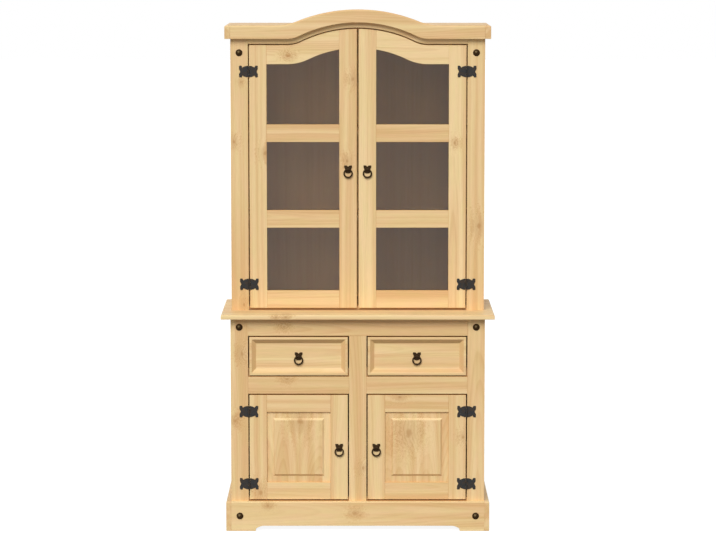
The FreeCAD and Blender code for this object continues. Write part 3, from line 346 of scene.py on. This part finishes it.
class Recipe:
    """Adds the nodes of one material, group or world, and wires them as they come."""

    def __init__(self, tree):
        self.tree = tree

    def wire(self, value, socket):
        """Link a socket to another, or set it to a plain value."""
        if isinstance(value, bpy.types.NodeSocket):
            self.tree.links.new(value, socket)
        else:
            socket.default_value = value

    def add(self, kind, inputs=None, output=0, **settings):
        """A node's output by its number or name, or the node itself where that is None."""
        node = self.tree.nodes.new("ShaderNode" + kind)
        for name, value in settings.items():
            setattr(node, name, value)
        for name, value in (inputs or {}).items():
            self.wire(value, node.inputs[name])
        return node if output is None else node.outputs[output]

    def sum(self, operation, *values, clamp=False):
        """One step of arithmetic."""
        inputs = dict(enumerate(values))
        return self.add("Math", inputs, operation=operation, use_clamp=clamp)

    def chain(self, operation, values):
        """The same step of arithmetic from value to value."""
        return reduce(lambda one, other: self.sum(operation, one, other), values)

    def between(self, share, low, high):
        """Low for a share of 0 and high for a share of 1, on a straight line."""
        return self.sum("MULTIPLY_ADD", share, high - low, low)

    def vector(self, operation, *values, output=0):
        """One step of arithmetic with vectors; output 1 is a number."""
        return self.add("VectorMath", dict(enumerate(values)), output, operation=operation)

    def split(self, vector):
        return list(self.add("SeparateXYZ", {0: vector}, None).outputs)

    def joined(self, x, y, z):
        return self.add("CombineXYZ", {0: x, 1: y, 2: z})

    def ease(self, value, low, high, to_low=0.0, to_high=1.0):
        """Go softly from one value to the other while the input goes from low to high."""
        inputs = {0: value, 1: low, 2: high, 3: to_low, 4: to_high}
        return self.add("MapRange", inputs, interpolation_type="SMOOTHSTEP")

    def fade(self, value, span, strength=1.0):
        """Full strength up to the start of the span, and nothing from its end."""
        return self.ease(value, *span, strength, 0.0)

    def noise(self, vector, detail=0.0, scale=1.0):
        """A soft noise that swings round 0.5."""
        return self.add("TexNoise", {"Vector": vector, "Scale": scale, "Detail": detail})

    def swings(self, place, to_a_metre, detail):
        """A noise that swings so many times to a metre along each axis."""
        return self.noise(self.vector("MULTIPLY", place, to_a_metre), detail)

    def mix(self, share, first, second, blend="MIX"):
        """The first colour, with a share of the second mixed or multiplied in."""
        node = self.add("Mix", None, None, data_type="RGBA", blend_type=blend, clamp_factor=True)
        for index, value in ((0, share), (6, first), (7, second)):
            self.wire(value, node.inputs[index])
        return node.outputs[2]

    def seen(self):
        """1 for the rays that show a thing itself, also in metal and through glass."""
        path = self.add("LightPath", None, None).outputs
        seen = self.sum("ADD", path["Is Camera Ray"], path["Is Glossy Ray"])
        return self.sum("ADD", seen, path["Is Transmission Ray"], clamp=True)


def colour(rgb, shade=1.0):
    """A colour for a socket, darker where the shade is less than 1."""
    return (*[tone * shade for tone in rgb], 1.0)


def fresh_material(name):
    """An empty material, and the recipe for its nodes."""
    material = bpy.data.materials.new(name)
    material.use_nodes = True
    material.node_tree.nodes.clear()
    return material, Recipe(material.node_tree)


def finish_material(recipe, surface):
    """Make a shader the surface of its material."""
    recipe.add("OutputMaterial", {"Surface": surface}, None)


def pine_growth():
    """The node group that grows pine: rings round a heart that lies behind each board."""
    pine = bpy.context.scene.trastero_pine
    group = bpy.data.node_groups.new("Pine growth", "ShaderNodeTree")
    for way, kind, names in (
        ("INPUT", "Vector", ("Place", "Chance")),
        ("INPUT", "Float", ("Knot", "Depth", "Ring width", "End grain", "Figure", "Sawn edge")),
        ("INPUT", "Float", ("Lean",)),
        ("OUTPUT", "Color", ("Colour",)),
        ("OUTPUT", "Float", ("Roughness", "Height")),
    ):
        for name in names:
            group.interface.new_socket(name, in_out=way, socket_type="NodeSocket" + kind)
    r = Recipe(group)
    given = group.nodes.new("NodeGroupInput").outputs
    along, across, into = r.split(given["Place"])
    first, second, third = r.split(given["Chance"])

    # A knot is ragged: a noise stretches and shrinks the distance to it
    bumps = r.noise(given["Place"], detail=2.0, scale=KNOT_BUMPS)
    knot = r.sum("MULTIPLY", given["Knot"], r.between(bumps, *KNOT_RAGGED))

    # Rings round the heart
    lean = r.sum("MULTIPLY", r.between(third, *HEART_LEAN), given["Lean"])
    leaning = r.sum("MULTIPLY_ADD", along, lean, into)
    behind = r.sum("ADD", leaning, r.between(first, *HEART_BEHIND))
    beside = r.sum("ADD", across, r.between(second, -HEART_BESIDE, HEART_BESIDE))
    radius = r.vector("LENGTH", r.joined(behind, beside, 0.0), output=1)
    grain = r.joined(r.sum("MULTIPLY_ADD", first, TREE_SHIFT, along), across, into)
    drift = r.between(r.swings(grain, DRIFT_SWINGS, 1.0), -RING_DRIFT, RING_DRIFT)
    bend = r.fade(knot, KNOT_BEND, RING_BEND)
    reach = r.sum("ADD", r.sum("ADD", radius, drift), bend)
    spell = r.sum("MULTIPLY_ADD", second, SPELL_SHIFT, r.sum("MULTIPLY", reach, SPELLS))
    growth = r.add("TexNoise", {"W": spell, "Scale": 1.0, "Detail": 2.0}, noise_dimensions="1D")
    uneven = r.sum("MULTIPLY_ADD", growth, RING_SWELL, reach)
    phase = r.sum("FRACT", r.sum("DIVIDE", uneven, given["Ring width"]))
    rise = r.sum("POWER", r.ease(phase, *LINE_RISE), LINE_SHARPNESS)
    line = r.sum("MULTIPLY", rise, r.fade(phase, LINE_END))

    # Streaks and fibres along the grain
    streak = r.swings(grain, STREAK_SWINGS, 1.5)
    fibre = r.swings(grain, FIBRE_SWINGS, 1.0)
    streaks = r.sum("MULTIPLY", streak, 1 - GROWTH_SHARE)
    figure = r.sum("MULTIPLY_ADD", growth, GROWTH_SHARE, streaks)
    warm = r.sum("MULTIPLY_ADD", r.ease(figure, *WARM_FIGURE, -0.5, 0.5), given["Figure"], 0.5)
    own = r.sum("ADD", given["Depth"], r.between(third, -OWN_DEPTH, OWN_DEPTH))
    warmth = r.sum("MULTIPLY_ADD", warm, WARM_DEPTH, own, clamp=True)
    wood = r.mix(warmth, colour(pine.pale), colour(pine.honey))
    by_knots = r.between(r.fade(knot, KNOT_LINES), *LINES_BY_KNOTS)
    shares = (line, r.between(warm, *LINE_SHARES), given["Figure"], by_knots)
    line_share = r.chain("MULTIPLY", shares)
    wood = r.mix(line_share, wood, colour(pine.late))
    shade = r.between(fibre, *FIBRE_SHADES)
    wood = r.add("VectorMath", {0: wood, "Scale": shade}, operation="SCALE")

    # Clouds of greener and of pinker wood
    cloud = r.ease(r.swings(grain, CLOUD_SWINGS, 1.0), *CLOUD_TURN)
    wood = r.mix(1.0, wood, r.mix(cloud, colour(GREENER), colour(PINKER)), "MULTIPLY")

    # A knot is a small brown heart in wood darkened by resin
    resin, end_grain = colour(pine.honey, RESIN_SHADE), colour(pine.honey, END_GRAIN_SHADE)
    wood = r.mix(r.fade(knot, KNOT_RESIN, RESIN_SHARE), wood, resin)
    wood = r.mix(r.fade(knot, KNOT_HEART, HEART_SHARE), wood, colour(pine.knot))
    wood = r.mix(r.sum("MULTIPLY", given["End grain"], END_GRAIN_SHARE), wood, end_grain)
    # Painted shade: the sawn edges that show in the gaps are darkened and browned, for the shade
    # deep in the gaps.
    gap_shaded_wood = r.mix(1.0, wood, colour(pine.gap_shade_colour), "MULTIPLY")
    wood = r.mix(given["Sawn edge"], wood, gap_shaded_wood)

    hard = r.sum("ADD", line, r.fade(knot, KNOT_HARD), clamp=True)
    rough = r.sum("MULTIPLY_ADD", hard, HARD_POLISH, r.between(fibre, *SATIN))
    rough = r.sum("MULTIPLY_ADD", given["Sawn edge"], SAWN_ROUGHNESS, rough)
    height = r.sum("MULTIPLY_ADD", line, LINE_HEIGHT, r.sum("MULTIPLY", fibre, FIBRE_HEIGHT))
    made = group.nodes.new("NodeGroupOutput").inputs
    for socket, value in zip(made, (wood, rough, height)):
        group.links.new(value, socket)
    return group


def board_grain(r, name, sawn, place):
    """Where a point lies in its board, along, across and into it, and the board's own chances."""
    boards, middles = [], []
    for coordinate, size, corner, low, high in zip(
        r.split(place), sawn.board, sawn.corner, *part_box(name)
    ):
        if size:
            count = r.sum("FLOOR", r.sum("DIVIDE", r.sum("SUBTRACT", coordinate, corner), size))
            boards.append(count)
            middles.append(r.sum("MULTIPLY_ADD", r.sum("ADD", count, 0.5), size, corner))
        else:
            boards.append(0.0)
            middles.append((low + high) / 2)
    # Every node has seeds of its own, so no two boards have the same chances
    seed = sorted(NODES).index(name) * 3.0 + 1.0
    board = r.vector("ADD", r.joined(*boards), (seed, seed / 2, 0.0))
    chance = r.add("TexWhiteNoise", {"Vector": board}, 1, noise_dimensions="3D")
    within = r.split(r.vector("SUBTRACT", place, r.joined(*middles)))
    return [within["XYZ".index(axis)] for axis in sawn.axes], chance


def knot_distance(r, name, axes, place, along, across):
    """How far a point is from the nearest knot, in that knot's radiuses."""
    distances = []
    squash = Vector([KNOT_ALONG if axis == axes[0] else 1.0 for axis in "XYZ"])
    squash.y = KNOT_INTO_TOP if axes[2] == "Z" else KNOT_INTO_FRONT
    for x, z, radius in KNOTS.get(name, ()):
        offset = r.vector("SUBTRACT", place, (x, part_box(name)[0].y, z))
        offset = r.vector("MULTIPLY", offset, tuple(squash / radius))
        distances.append(r.vector("LENGTH", offset, output=1))
    if name in SCATTERED_KNOTS:
        columns = r.sum("MULTIPLY", along, SCATTER_ALONG)
        rows = r.sum("MULTIPLY", across, SCATTER_ACROSS)
        cells = r.add("TexVoronoi", {"Vector": r.joined(columns, rows, 0.0), "Scale": 1.0}, None,
                      voronoi_dimensions="2D")
        chance = r.split(cells.outputs["Color"])[0]
        size = r.ease(chance, *SCATTER_CHANCES, *SCATTER_SIZES)
        distances.append(r.sum("DIVIDE", cells.outputs["Distance"], size))
    return r.chain("MINIMUM", distances) if distances else NO_KNOT


def gap_edge(r, name, place, frontward):
    """1 on the sawn edges that show in the gaps of the framing, where shade is painted, and 0
    elsewhere.
    """
    if not any(word in name for word in FRAMING):
        return 0.0
    outside = r.sum("GREATER_THAN", r.sum("ABSOLUTE", r.split(place)[0]), OUTSIDE)
    return r.sum("MULTIPLY", r.fade(frontward, EDGE_FACES), r.sum("SUBTRACT", 1.0, outside))


def colour_depth(r, name, depth, place, upward, frontward):
    """How deep the colour of a node is, where it isn't the same all over."""
    # Painted light on the faces that look up: deeper as painted shade, paler as a painted highlight
    # where the number is below 0.
    if name in PAINTED_TOP_LIGHT:
        depth = r.ease(upward, *TOP_FACES, depth, depth + PAINTED_TOP_LIGHT[name])
    # Towards the bottom: paler on the plinth front, as painted light from the floor, and deeper on
    # the upper stiles.
    if name in LOWER_ENDS:
        foot, head = [corner.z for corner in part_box(name)]
        lower = r.fade(r.split(place)[2], (foot, (foot + head) / 2), LOWER_ENDS[name])
        depth = r.sum("ADD", depth, lower)
    # Painted light on the panel's bevels: paler looking up, deeper looking down.
    if name.endswith("door_panel"):
        depth = r.sum("MULTIPLY_ADD", upward, -PAINTED_BEVEL_LIGHT, depth)
    # Painted shade on the slopes round a sunk drawer front, most on the top one.
    if name.endswith("drawer_front"):
        top, bottom = [depth + deeper for deeper in SLOPE_PAINTED_SHADES]
        depth = r.ease(frontward, *SLOPE_FACES, r.ease(upward, *SLOPE_TILTS, top, bottom), depth)
    return depth


def pine_material(name, sawn, group, ring_width, figure):
    """Satin pine for one node, with the grain of each of its boards."""
    material, r = fresh_material("Satin pine " + name)
    coordinates = r.add("TexCoord", None, None).outputs
    place, normal = coordinates["Object"], r.split(coordinates["Normal"])
    upward, frontward = normal[2], r.sum("ABSOLUTE", normal[1])
    endward = r.sum("ABSOLUTE", normal["XYZ".index(sawn.axes[0])])
    (along, across, into), chance = board_grain(r, name, sawn, place)
    inputs = {
        "Place": r.joined(along, across, into),
        "Chance": chance,
        "Knot": knot_distance(r, name, sawn.axes, place, along, across),
        "Depth": colour_depth(r, name, sawn.depth, place, upward, frontward),
        "Ring width": ring_width,
        "End grain": r.ease(endward, *END_FACES),
        "Figure": figure,
        "Sawn edge": gap_edge(r, name, place, frontward),
        "Lean": PANEL_LEAN if name.endswith("door_panel") else 1.0,
    }
    growth = r.tree.nodes.new("ShaderNodeGroup")
    growth.node_tree = group
    for key, value in inputs.items():
        r.wire(value, growth.inputs[key])
    wood = growth.outputs["Colour"]
    # Painted shade multiplied into the faces of a drawer front that look down.
    if name.endswith("drawer_front"):
        wood = r.mix(r.fade(upward, DOWN_FACES), wood, colour(TOP_SLOPE_PAINTED_SHADE), "MULTIPLY")
    bump = r.add("Bump", {
        "Strength": 0.25, "Distance": GRAIN_RELIEF, "Height": growth.outputs["Height"],
    })
    surface = r.add("BsdfPrincipled", {
        "Base Color": wood, "Roughness": growth.outputs["Roughness"],
        "Normal": bump, "IOR": 1.38,
    })
    finish_material(r, surface)
    return material


def iron_material(name, bloom, shine, crown_glint):
    """Hammer-marked black iron, browner where the blacking is thin, with a painted highlight on its
    crowns.
    """
    iron = bpy.context.scene.trastero_iron
    material, r = fresh_material(name)
    coordinates = r.add("TexCoord", None, None).outputs
    place = coordinates["Object"]
    marks = r.add("TexVoronoi", {
        "Vector": place, "Scale": 1 / iron.dent, "Smoothness": 0.6, "Randomness": 1.0,
    }, feature="SMOOTH_F1")
    patches = r.noise(place, detail=3.0, scale=IRON_PATCHES)
    grit = r.noise(place, detail=2.0, scale=IRON_GRIT)
    brown = r.ease(patches, *BLOOM_TURN, *bloom)
    base = r.mix(brown, colour(iron.colour), colour(iron.rust))
    if crown_glint:
        # Painted highlight: lighter where a crown faces the camera and a little up.
        facing = r.vector("DOT_PRODUCT", coordinates["Normal"], CROWN_FACING, output=1)
        worn = r.ease(facing, *CROWN_FACES, 0.0, crown_glint)
        base = r.mix(worn, base, colour(iron.crown))
    rough = r.sum("MULTIPLY_ADD", patches, PATCH_ROUGHNESS, r.between(grit, *GRIT_ROUGHNESS))
    height = r.sum("MULTIPLY_ADD", grit, GRIT_HEIGHT, marks)
    bump = r.add("Bump", {"Strength": 0.55, "Distance": DENT_RELIEF, "Height": height})
    surface = r.add("BsdfPrincipled", {
        "Base Color": base, "Roughness": rough, "Normal": bump, "Specular IOR Level": shine,
    })
    finish_material(r, surface)
    return material


def iron_finish(key):
    """One of the finishes of the iron, made when it is first asked for."""
    name, bloom, shine, crown_glint = IRONS[key]
    return bpy.data.materials.get(name) or iron_material(name, bloom, shine, crown_glint)


def glass_material(side):
    """Clear cabinet glass with a faint grey-brown tint and old, slightly wavy faces."""
    tint = bpy.context.scene.trastero_glass.tint
    material, r = fresh_material("Cabinet glass " + side)
    place = r.add("TexCoord", None, None).outputs["Object"]
    wave = r.noise(place, scale=GLASS_WAVES)
    bump = r.add("Bump", {"Strength": 0.04, "Distance": 0.001, "Height": wave})
    patches = r.noise(place, detail=2.0, scale=FILM_PATCHES)
    film = r.ease(patches, *FILM_TURN, 0.0, FILM_ROUGHNESS)
    # The tint, darkened for each door as painted shade.
    surface = r.add("BsdfPrincipled", {
        "Base Color": colour(tint, PANE_PAINTED_SHADES[side]), "Roughness": film, "Normal": bump,
        "Transmission Weight": 1.0, "IOR": 1.5,
    })
    finish_material(r, surface)
    return material


def wear(node_name, material):
    """Give a node of the frame its finish."""
    for held in NODES[node_name].material_slots:
        held.material = material


def ease_edges(node_name, width):
    """Round a node's edges a little, with modifiers, and keep its faces looking flat."""
    piece = NODES[node_name]
    weld = piece.modifiers.new("Merged corners", "WELD")
    weld.merge_threshold = SAME_CORNER
    flat = piece.modifiers.new("Whole faces", "DECIMATE")
    flat.decimate_type = "DISSOLVE"
    flat.angle_limit = FACE_ANGLE
    edge = piece.modifiers.new("Eased edges", "BEVEL")
    edge.width = width
    edge.segments = 2
    edge.limit_method = "ANGLE"
    edge.angle_limit = EDGE_ANGLE
    shading = piece.modifiers.new("Even shading", "WEIGHTED_NORMAL")
    shading.keep_sharp = False
    shading.weight = 100


def dress_boards(names):
    """Give wooden nodes their grain and their eased edges."""
    pine = bpy.context.scene.trastero_pine
    group = bpy.data.node_groups.get("Pine growth") or pine_growth()
    for name in names:
        veneer = name in VENEERS
        sawn = VENEERS[name] if veneer else BOARDS[name]
        ring_width = pine.ring_width * (PEELED_RINGS if veneer else 1)
        figure = VENEER_FIGURE if veneer else WIDE_FIGURE if name in WIDE_BOARDS else 1.0
        wear(name, pine_material(name, sawn, group, ring_width, figure))
        ease_edges(name, WIDER_EDGES.get(name, pine.edge))


def select_only(piece=None):
    """In object mode, select this piece alone, or nothing."""
    if bpy.context.object and bpy.context.object.mode != "OBJECT":
        bpy.ops.object.mode_set(mode="OBJECT")
    bpy.ops.object.select_all(action="DESELECT")
    if piece:
        piece.select_set(True)
        bpy.context.view_layer.objects.active = piece


def edit_select(test):
    """In edit mode, select the vertices that pass the test."""
    mesh = bmesh.from_edit_mesh(bpy.context.object.data)
    bpy.ops.mesh.select_mode(type="VERT")
    for vertex in mesh.verts:
        vertex.select = test(vertex.co)
    mesh.select_flush_mode()
    bmesh.update_edit_mesh(bpy.context.object.data)


def close_up(piece, angle, finish):
    """Merge doubles, point the faces outwards, shade by angle and put the place in the mesh."""
    bpy.ops.object.mode_set(mode="EDIT")
    bpy.ops.mesh.select_all(action="SELECT")
    bpy.ops.mesh.remove_doubles(threshold=SAME_POINT)
    bpy.ops.mesh.normals_make_consistent(inside=False)
    bpy.ops.object.mode_set(mode="OBJECT")
    bpy.ops.object.transform_apply(location=True, rotation=True, scale=True)
    bpy.ops.object.shade_smooth_by_angle(angle=math.radians(angle))
    piece.data.materials.clear()
    piece.data.materials.append(finish)


def beat(piece, depth, size):
    """Hammer the surface: an applied displacement in soft, uneven dents."""
    texture = bpy.data.textures.new("Hammer marks", "VORONOI")
    texture.noise_scale = size
    texture.noise_intensity = 1.0
    dents = piece.modifiers.new("Hammer", "DISPLACE")
    dents.texture = texture
    dents.texture_coords = "LOCAL"
    dents.strength = depth
    dents.mid_level = 0.5
    bpy.ops.object.modifier_apply(modifier=dents.name)


def solids_of(name):
    """The lowest and highest corner of each separate solid of a node."""
    mesh = bmesh.new()
    mesh.from_mesh(NODES[name].data)
    bmesh.ops.remove_doubles(mesh, verts=mesh.verts, dist=SAME_CORNER)
    waiting, found = set(mesh.verts), []
    while waiting:
        reached, solid = [waiting.pop()], []
        while reached:
            vertex = reached.pop()
            solid.append(vertex.co.copy())
            for edge in vertex.link_edges:
                other = edge.other_vert(vertex)
                if other in waiting:
                    waiting.remove(other)
                    reached.append(other)
        found.append([
            Vector([pick(co[axis] for co in solid) for axis in range(3)]) for pick in (min, max)
        ])
    mesh.free()
    return sorted(found, key=lambda box: (round(box[0].x, 4), round(box[0].z, 4)))


def set_out(pattern, name, places):
    """One piece made of copies of the pattern, each moved to its place."""
    twins = []
    for place in places:
        twin = pattern.copy()
        twin.data = pattern.data.copy()
        twin.location = place
        bpy.context.collection.objects.link(twin)
        twins.append(twin)
    select_only(twins[0])
    for twin in twins:
        twin.select_set(True)
    bpy.ops.object.join()
    piece = bpy.context.object
    piece.name = name
    bpy.ops.object.transform_apply(location=True, rotation=True, scale=True)
    select_only()
    return piece


def scrap(pattern):
    """Throw away a pattern once its copies are made."""
    bpy.data.objects.remove(pattern)


def dome(name, sides, radius, rise, rim, steps):
    """A dome that faces -Y, raised from a disc step by step, first by its upright rim."""
    select_only()
    bpy.ops.mesh.primitive_circle_add(
        vertices=sides, radius=radius, fill_type="NGON",
        location=(0, 0, 0), rotation=(math.pi / 2, 0, 0))
    piece = bpy.context.object
    piece.name = name
    bpy.ops.object.transform_apply(rotation=True)
    bpy.ops.object.mode_set(mode="EDIT")
    bpy.ops.mesh.select_all(action="SELECT")
    bpy.ops.mesh.extrude_region_move(TRANSFORM_OT_translate={"value": (0, -rim, 0)})
    height = rise - rim
    ball = (radius ** 2 + height ** 2) / (2 * height)
    reach, level = radius, 0.0
    start = math.asin(radius / ball)
    for step in range(1, steps + 1):
        angle = start * (1 - step / (steps + 0.5))
        new_reach = ball * math.sin(angle)
        new_level = ball * math.cos(angle) - (ball - height)
        raised = (0, level - new_level, 0)
        bpy.ops.mesh.extrude_region_move(TRANSFORM_OT_translate={"value": raised})
        share = new_reach / reach
        bpy.ops.transform.resize(value=(share, 1, share), center_override=(0, 0, 0))
        reach, level = new_reach, new_level
    bpy.ops.mesh.poke()
    edit_select(lambda co: math.hypot(co.x, co.z) < radius / 100 and co.y < -rim)
    bpy.ops.transform.translate(value=(0, level - height, 0))
    bpy.ops.object.mode_set(mode="OBJECT")
    return piece


class TRASTERO_OT_carcass(bpy.types.Operator):
    """Dress the boards of the base and of the upper cabinet"""
    bl_idname = "trastero.carcass"
    bl_label = "Carcass boards"

    def execute(self, context):
        moving = ("door_", "drawer_front", "drawer_box", "drawer_bottom")
        dress_boards([
            name for name in [*BOARDS, *VENEERS] if not any(word in name for word in moving)
        ])
        return {"FINISHED"}


class TRASTERO_OT_doors(bpy.types.Operator):
    """Dress the stiles, rails and panels of the four doors"""
    bl_idname = "trastero.doors"
    bl_label = "Doors"

    def execute(self, context):
        dress_boards([name for name in BOARDS if "door_" in name])
        return {"FINISHED"}


class TRASTERO_OT_drawers(bpy.types.Operator):
    """Dress the sunk fronts, boxes and bottoms of the two drawers"""
    bl_idname = "trastero.drawers"
    bl_label = "Drawers"

    def execute(self, context):
        dress_boards([
            drawer + part for drawer in DRAWERS for part in ("_front", "_box", "_bottom")
        ])
        return {"FINISHED"}


class TRASTERO_OT_glass(bpy.types.Operator):
    """Glaze the upper doors"""
    bl_idname = "trastero.glass"
    bl_label = "Glass"

    def execute(self, context):
        for side in SIDES:
            wear(f"upper_{side}_door_glass", glass_material(side))
            ease_edges(f"upper_{side}_door_glass", GLASS_EDGE)
        return {"FINISHED"}


class TRASTERO_OT_hinges(bpy.types.Operator):
    """Forge the butterfly hinges and drive their nails"""
    bl_idname = "trastero.hinges"
    bl_label = "Hinges"

    def execute(self, context):
        head = context.scene.trastero_iron.nail
        rise, rim = head * NAIL_RISE, head * NAIL_RIM
        nail = dome("nail_pattern", sides=12, radius=head, rise=rise, rim=rim, steps=3)
        close_up(nail, 40, iron_finish("black"))
        bodies = {"hinge_frame_leaves": "cabinet"}
        bodies.update({door + "_hinge_leaves": door for door in DOORS})
        for node_name, body in bodies.items():
            wear(node_name, iron_finish("black"))
            ease_edges(node_name, LEAF_EDGE)
            places = []
            for low, high in solids_of(node_name):
                places += self.nail_places(low, high, body == "cabinet")
            nails = set_out(nail, body + "_hinge_nails", places)
            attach(nails, body)
        scrap(nail)
        return {"FINISHED"}

    def nail_places(self, low, high, on_frame):
        """The nails of one leaf, set in from the tip that is furthest from its pin."""
        on_left = low.x + high.x < 0
        tip, inwards = (low.x, 1) if on_frame == on_left else (high.x, -1)
        face, middle = high.y - LEAF_THICKNESS, (low.z + high.z) / 2
        return [Vector((tip + inwards * inset, face, middle + lift)) for inset, lift in NAILS]


class TRASTERO_OT_pulls(bpy.types.Operator):
    """Forge the six ring pulls: their plates and their rings"""
    bl_idname = "trastero.pulls"
    bl_label = "Ring pulls"

    def execute(self, context):
        homes = DOORS + DRAWERS
        pattern = self.forge_ring(homes[0] + "_ring")
        for home in homes:
            wear(home + "_pull_plate", iron_finish("worn"))
            ease_edges(home + "_pull_plate", PLATE_EDGE)
            low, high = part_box(home + "_ring")
            ring = set_out(pattern, home + "_forged_ring", [(low + high) / 2])
            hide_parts(home + "_ring")
            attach(ring, home + "_ring")
        scrap(pattern)
        return {"FINISHED"}

    def forge_ring(self, node_name):
        """A ring that faces the front: a round bar spun round, drawn thinner at its eye."""
        low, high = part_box(node_name)
        bar = (high.y - low.y) / 2
        middle = (high.x - low.x) / 2 - bar
        select_only()
        bpy.ops.mesh.primitive_circle_add(
            vertices=RING_SIDES, radius=bar, location=(0, 0, -middle),
            rotation=(0, math.pi / 2, 0))
        ring = bpy.context.object
        ring.name = "ring_pattern"
        bpy.ops.object.transform_apply(location=True, rotation=True)
        bpy.ops.object.mode_set(mode="EDIT")
        bpy.ops.mesh.select_all(action="SELECT")
        turn = 2 * math.pi
        bpy.ops.mesh.spin(steps=RING_STEPS, angle=turn, center=(0, 0, 0), axis=(0, 1, 0))
        bpy.ops.mesh.select_all(action="SELECT")
        bpy.ops.mesh.remove_doubles(threshold=SAME_POINT)
        for step in range(RING_STEPS):
            angle = turn * step / RING_STEPS
            centre = Vector((middle * math.sin(angle), 0, -middle * math.cos(angle)))
            heading = Vector((math.cos(angle), 0, math.sin(angle)))
            edit_select(lambda co: (
                abs((co - centre).dot(heading)) < SAME_CORNER and (co - centre).length < bar * 1.2))
            lowness = (1 + math.cos(angle)) / 2
            thickness = EYE_THICKNESS + (1 - EYE_THICKNESS) * lowness
            bpy.ops.transform.resize(value=[thickness] * 3, center_override=centre)
        bpy.ops.object.mode_set(mode="OBJECT")
        beat(ring, depth=0.0003, size=0.0035)
        close_up(ring, 50, iron_finish("worn"))
        return ring


class TRASTERO_OT_studs(bpy.types.Operator):
    """Forge the six domed studs"""
    bl_idname = "trastero.studs"
    bl_label = "Studs"

    def execute(self, context):
        solids = solids_of("iron_studs")
        low, high = solids[0]
        radius, rise = (high.x - low.x) / 2, high.y - low.y - STUD_SHANK
        stud = dome("stud_pattern", sides=20, radius=radius, rise=rise, rim=STUD_RIM, steps=4)
        beat(stud, depth=0.0007, size=0.006)
        close_up(stud, 12, iron_finish("waxed"))
        places = [Vector(((a.x + b.x) / 2, a.y + rise, (a.z + b.z) / 2)) for a, b in solids]
        studs = set_out(stud, "forged_studs", places)
        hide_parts("iron_studs")
        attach(studs, "cabinet")
        scrap(stud)
        return {"FINISHED"}


class TRASTERO_OT_stage(bpy.types.Operator):
    """Lay the pale floor, light the room and stand the camera"""
    bl_idname = "trastero.stage"
    bl_label = "Stage"

    def execute(self, context):
        self.lay_floor()
        self.light_room(context.scene)
        self.stand_camera(context.scene)
        context.scene.view_settings.view_transform = "Standard"
        return {"FINISHED"}

    def lay_floor(self):
        select_only()
        bpy.ops.mesh.primitive_plane_add(size=FLOOR_SIZE, location=(0, FLOOR_BACK, 0))
        floor = bpy.context.object
        floor.name = "floor"
        bpy.ops.object.transform_apply(location=True)
        material, r = fresh_material("Pale floor")
        place = r.add("TexCoord", None, None).outputs["Object"]
        speck = r.noise(place, detail=2.0, scale=FLOOR_SPECKS)
        tone = r.mix(speck, *[colour([grey] * 3) for grey in FLOOR_GREYS])
        matt = r.add("BsdfDiffuse", {"Color": tone})
        strength = r.sum("MULTIPLY", r.seen(), FLOOR_GLOW)
        glow = r.add("Emission", {"Color": WHITE, "Strength": strength})
        finish_material(r, r.add("AddShader", {0: matt, 1: glow}))
        floor.data.materials.append(material)

    def light_room(self, scene):
        stage = scene.trastero_stage
        world = bpy.data.worlds.new("White room")
        world.use_nodes = True
        world.node_tree.nodes.clear()
        r = Recipe(world.node_tree)
        strength = r.between(r.seen(), stage.sky, 1)
        light = r.add("Background", {"Color": WHITE, "Strength": strength})
        r.add("OutputWorld", {"Surface": light}, None)
        scene.world = world
        lamp = bpy.data.lights.new("Key light", "SUN")
        lamp.energy = stage.key
        lamp.angle = KEY_SPREAD
        key = bpy.data.objects.new("Key light", lamp)
        key.rotation_euler = Vector(KEY_FROM).to_track_quat("Z", "Y").to_euler()
        scene.collection.objects.link(key)

    def stand_camera(self, scene):
        lens = bpy.data.cameras.new("Camera")
        lens.lens = scene.trastero_stage.lens
        lens.sensor_width = SENSOR
        camera = bpy.data.objects.new("Camera", lens)
        camera.location = CAMERA_PLACE
        camera.rotation_euler = (CAMERA_TILT, 0, 0)
        scene.collection.objects.link(camera)
        scene.camera = camera


OPERATORS = (
    TRASTERO_OT_carcass, TRASTERO_OT_doors, TRASTERO_OT_drawers, TRASTERO_OT_glass,
    TRASTERO_OT_hinges, TRASTERO_OT_pulls, TRASTERO_OT_studs, TRASTERO_OT_stage,
)
SETTINGS = {
    "trastero_pine": TrasteroPine,
    "trastero_iron": TrasteroIron,
    "trastero_glass": TrasteroGlass,
    "trastero_stage": TrasteroStage,
}


class TRASTERO_PT_panel(bpy.types.Panel):
    """Sizes, colours and steps of the trastero"""
    bl_label = "Pine Trastero"
    bl_idname = "TRASTERO_PT_panel"
    bl_space_type = "VIEW_3D"
    bl_region_type = "UI"
    bl_category = "Trastero"

    def draw(self, context):
        for name, kind in SETTINGS.items():
            box = self.layout.box()
            for field in kind.__annotations__:
                box.prop(getattr(context.scene, name), field)
        for operator in OPERATORS:
            self.layout.operator(operator.bl_idname)


def register():
    for kind in (*SETTINGS.values(), *OPERATORS, TRASTERO_PT_panel):
        bpy.utils.register_class(kind)
    for name, kind in SETTINGS.items():
        setattr(bpy.types.Scene, name, PointerProperty(type=kind))


def unregister():
    for name in SETTINGS:
        delattr(bpy.types.Scene, name)
    for kind in (TRASTERO_PT_panel, *reversed(OPERATORS), *reversed(SETTINGS.values())):
        bpy.utils.unregister_class(kind)


def main():
    register()
    for operator in OPERATORS:
        family, step = operator.bl_idname.split(".")
        getattr(getattr(bpy.ops, family), step)()


if __name__ == "__main__":
    main()
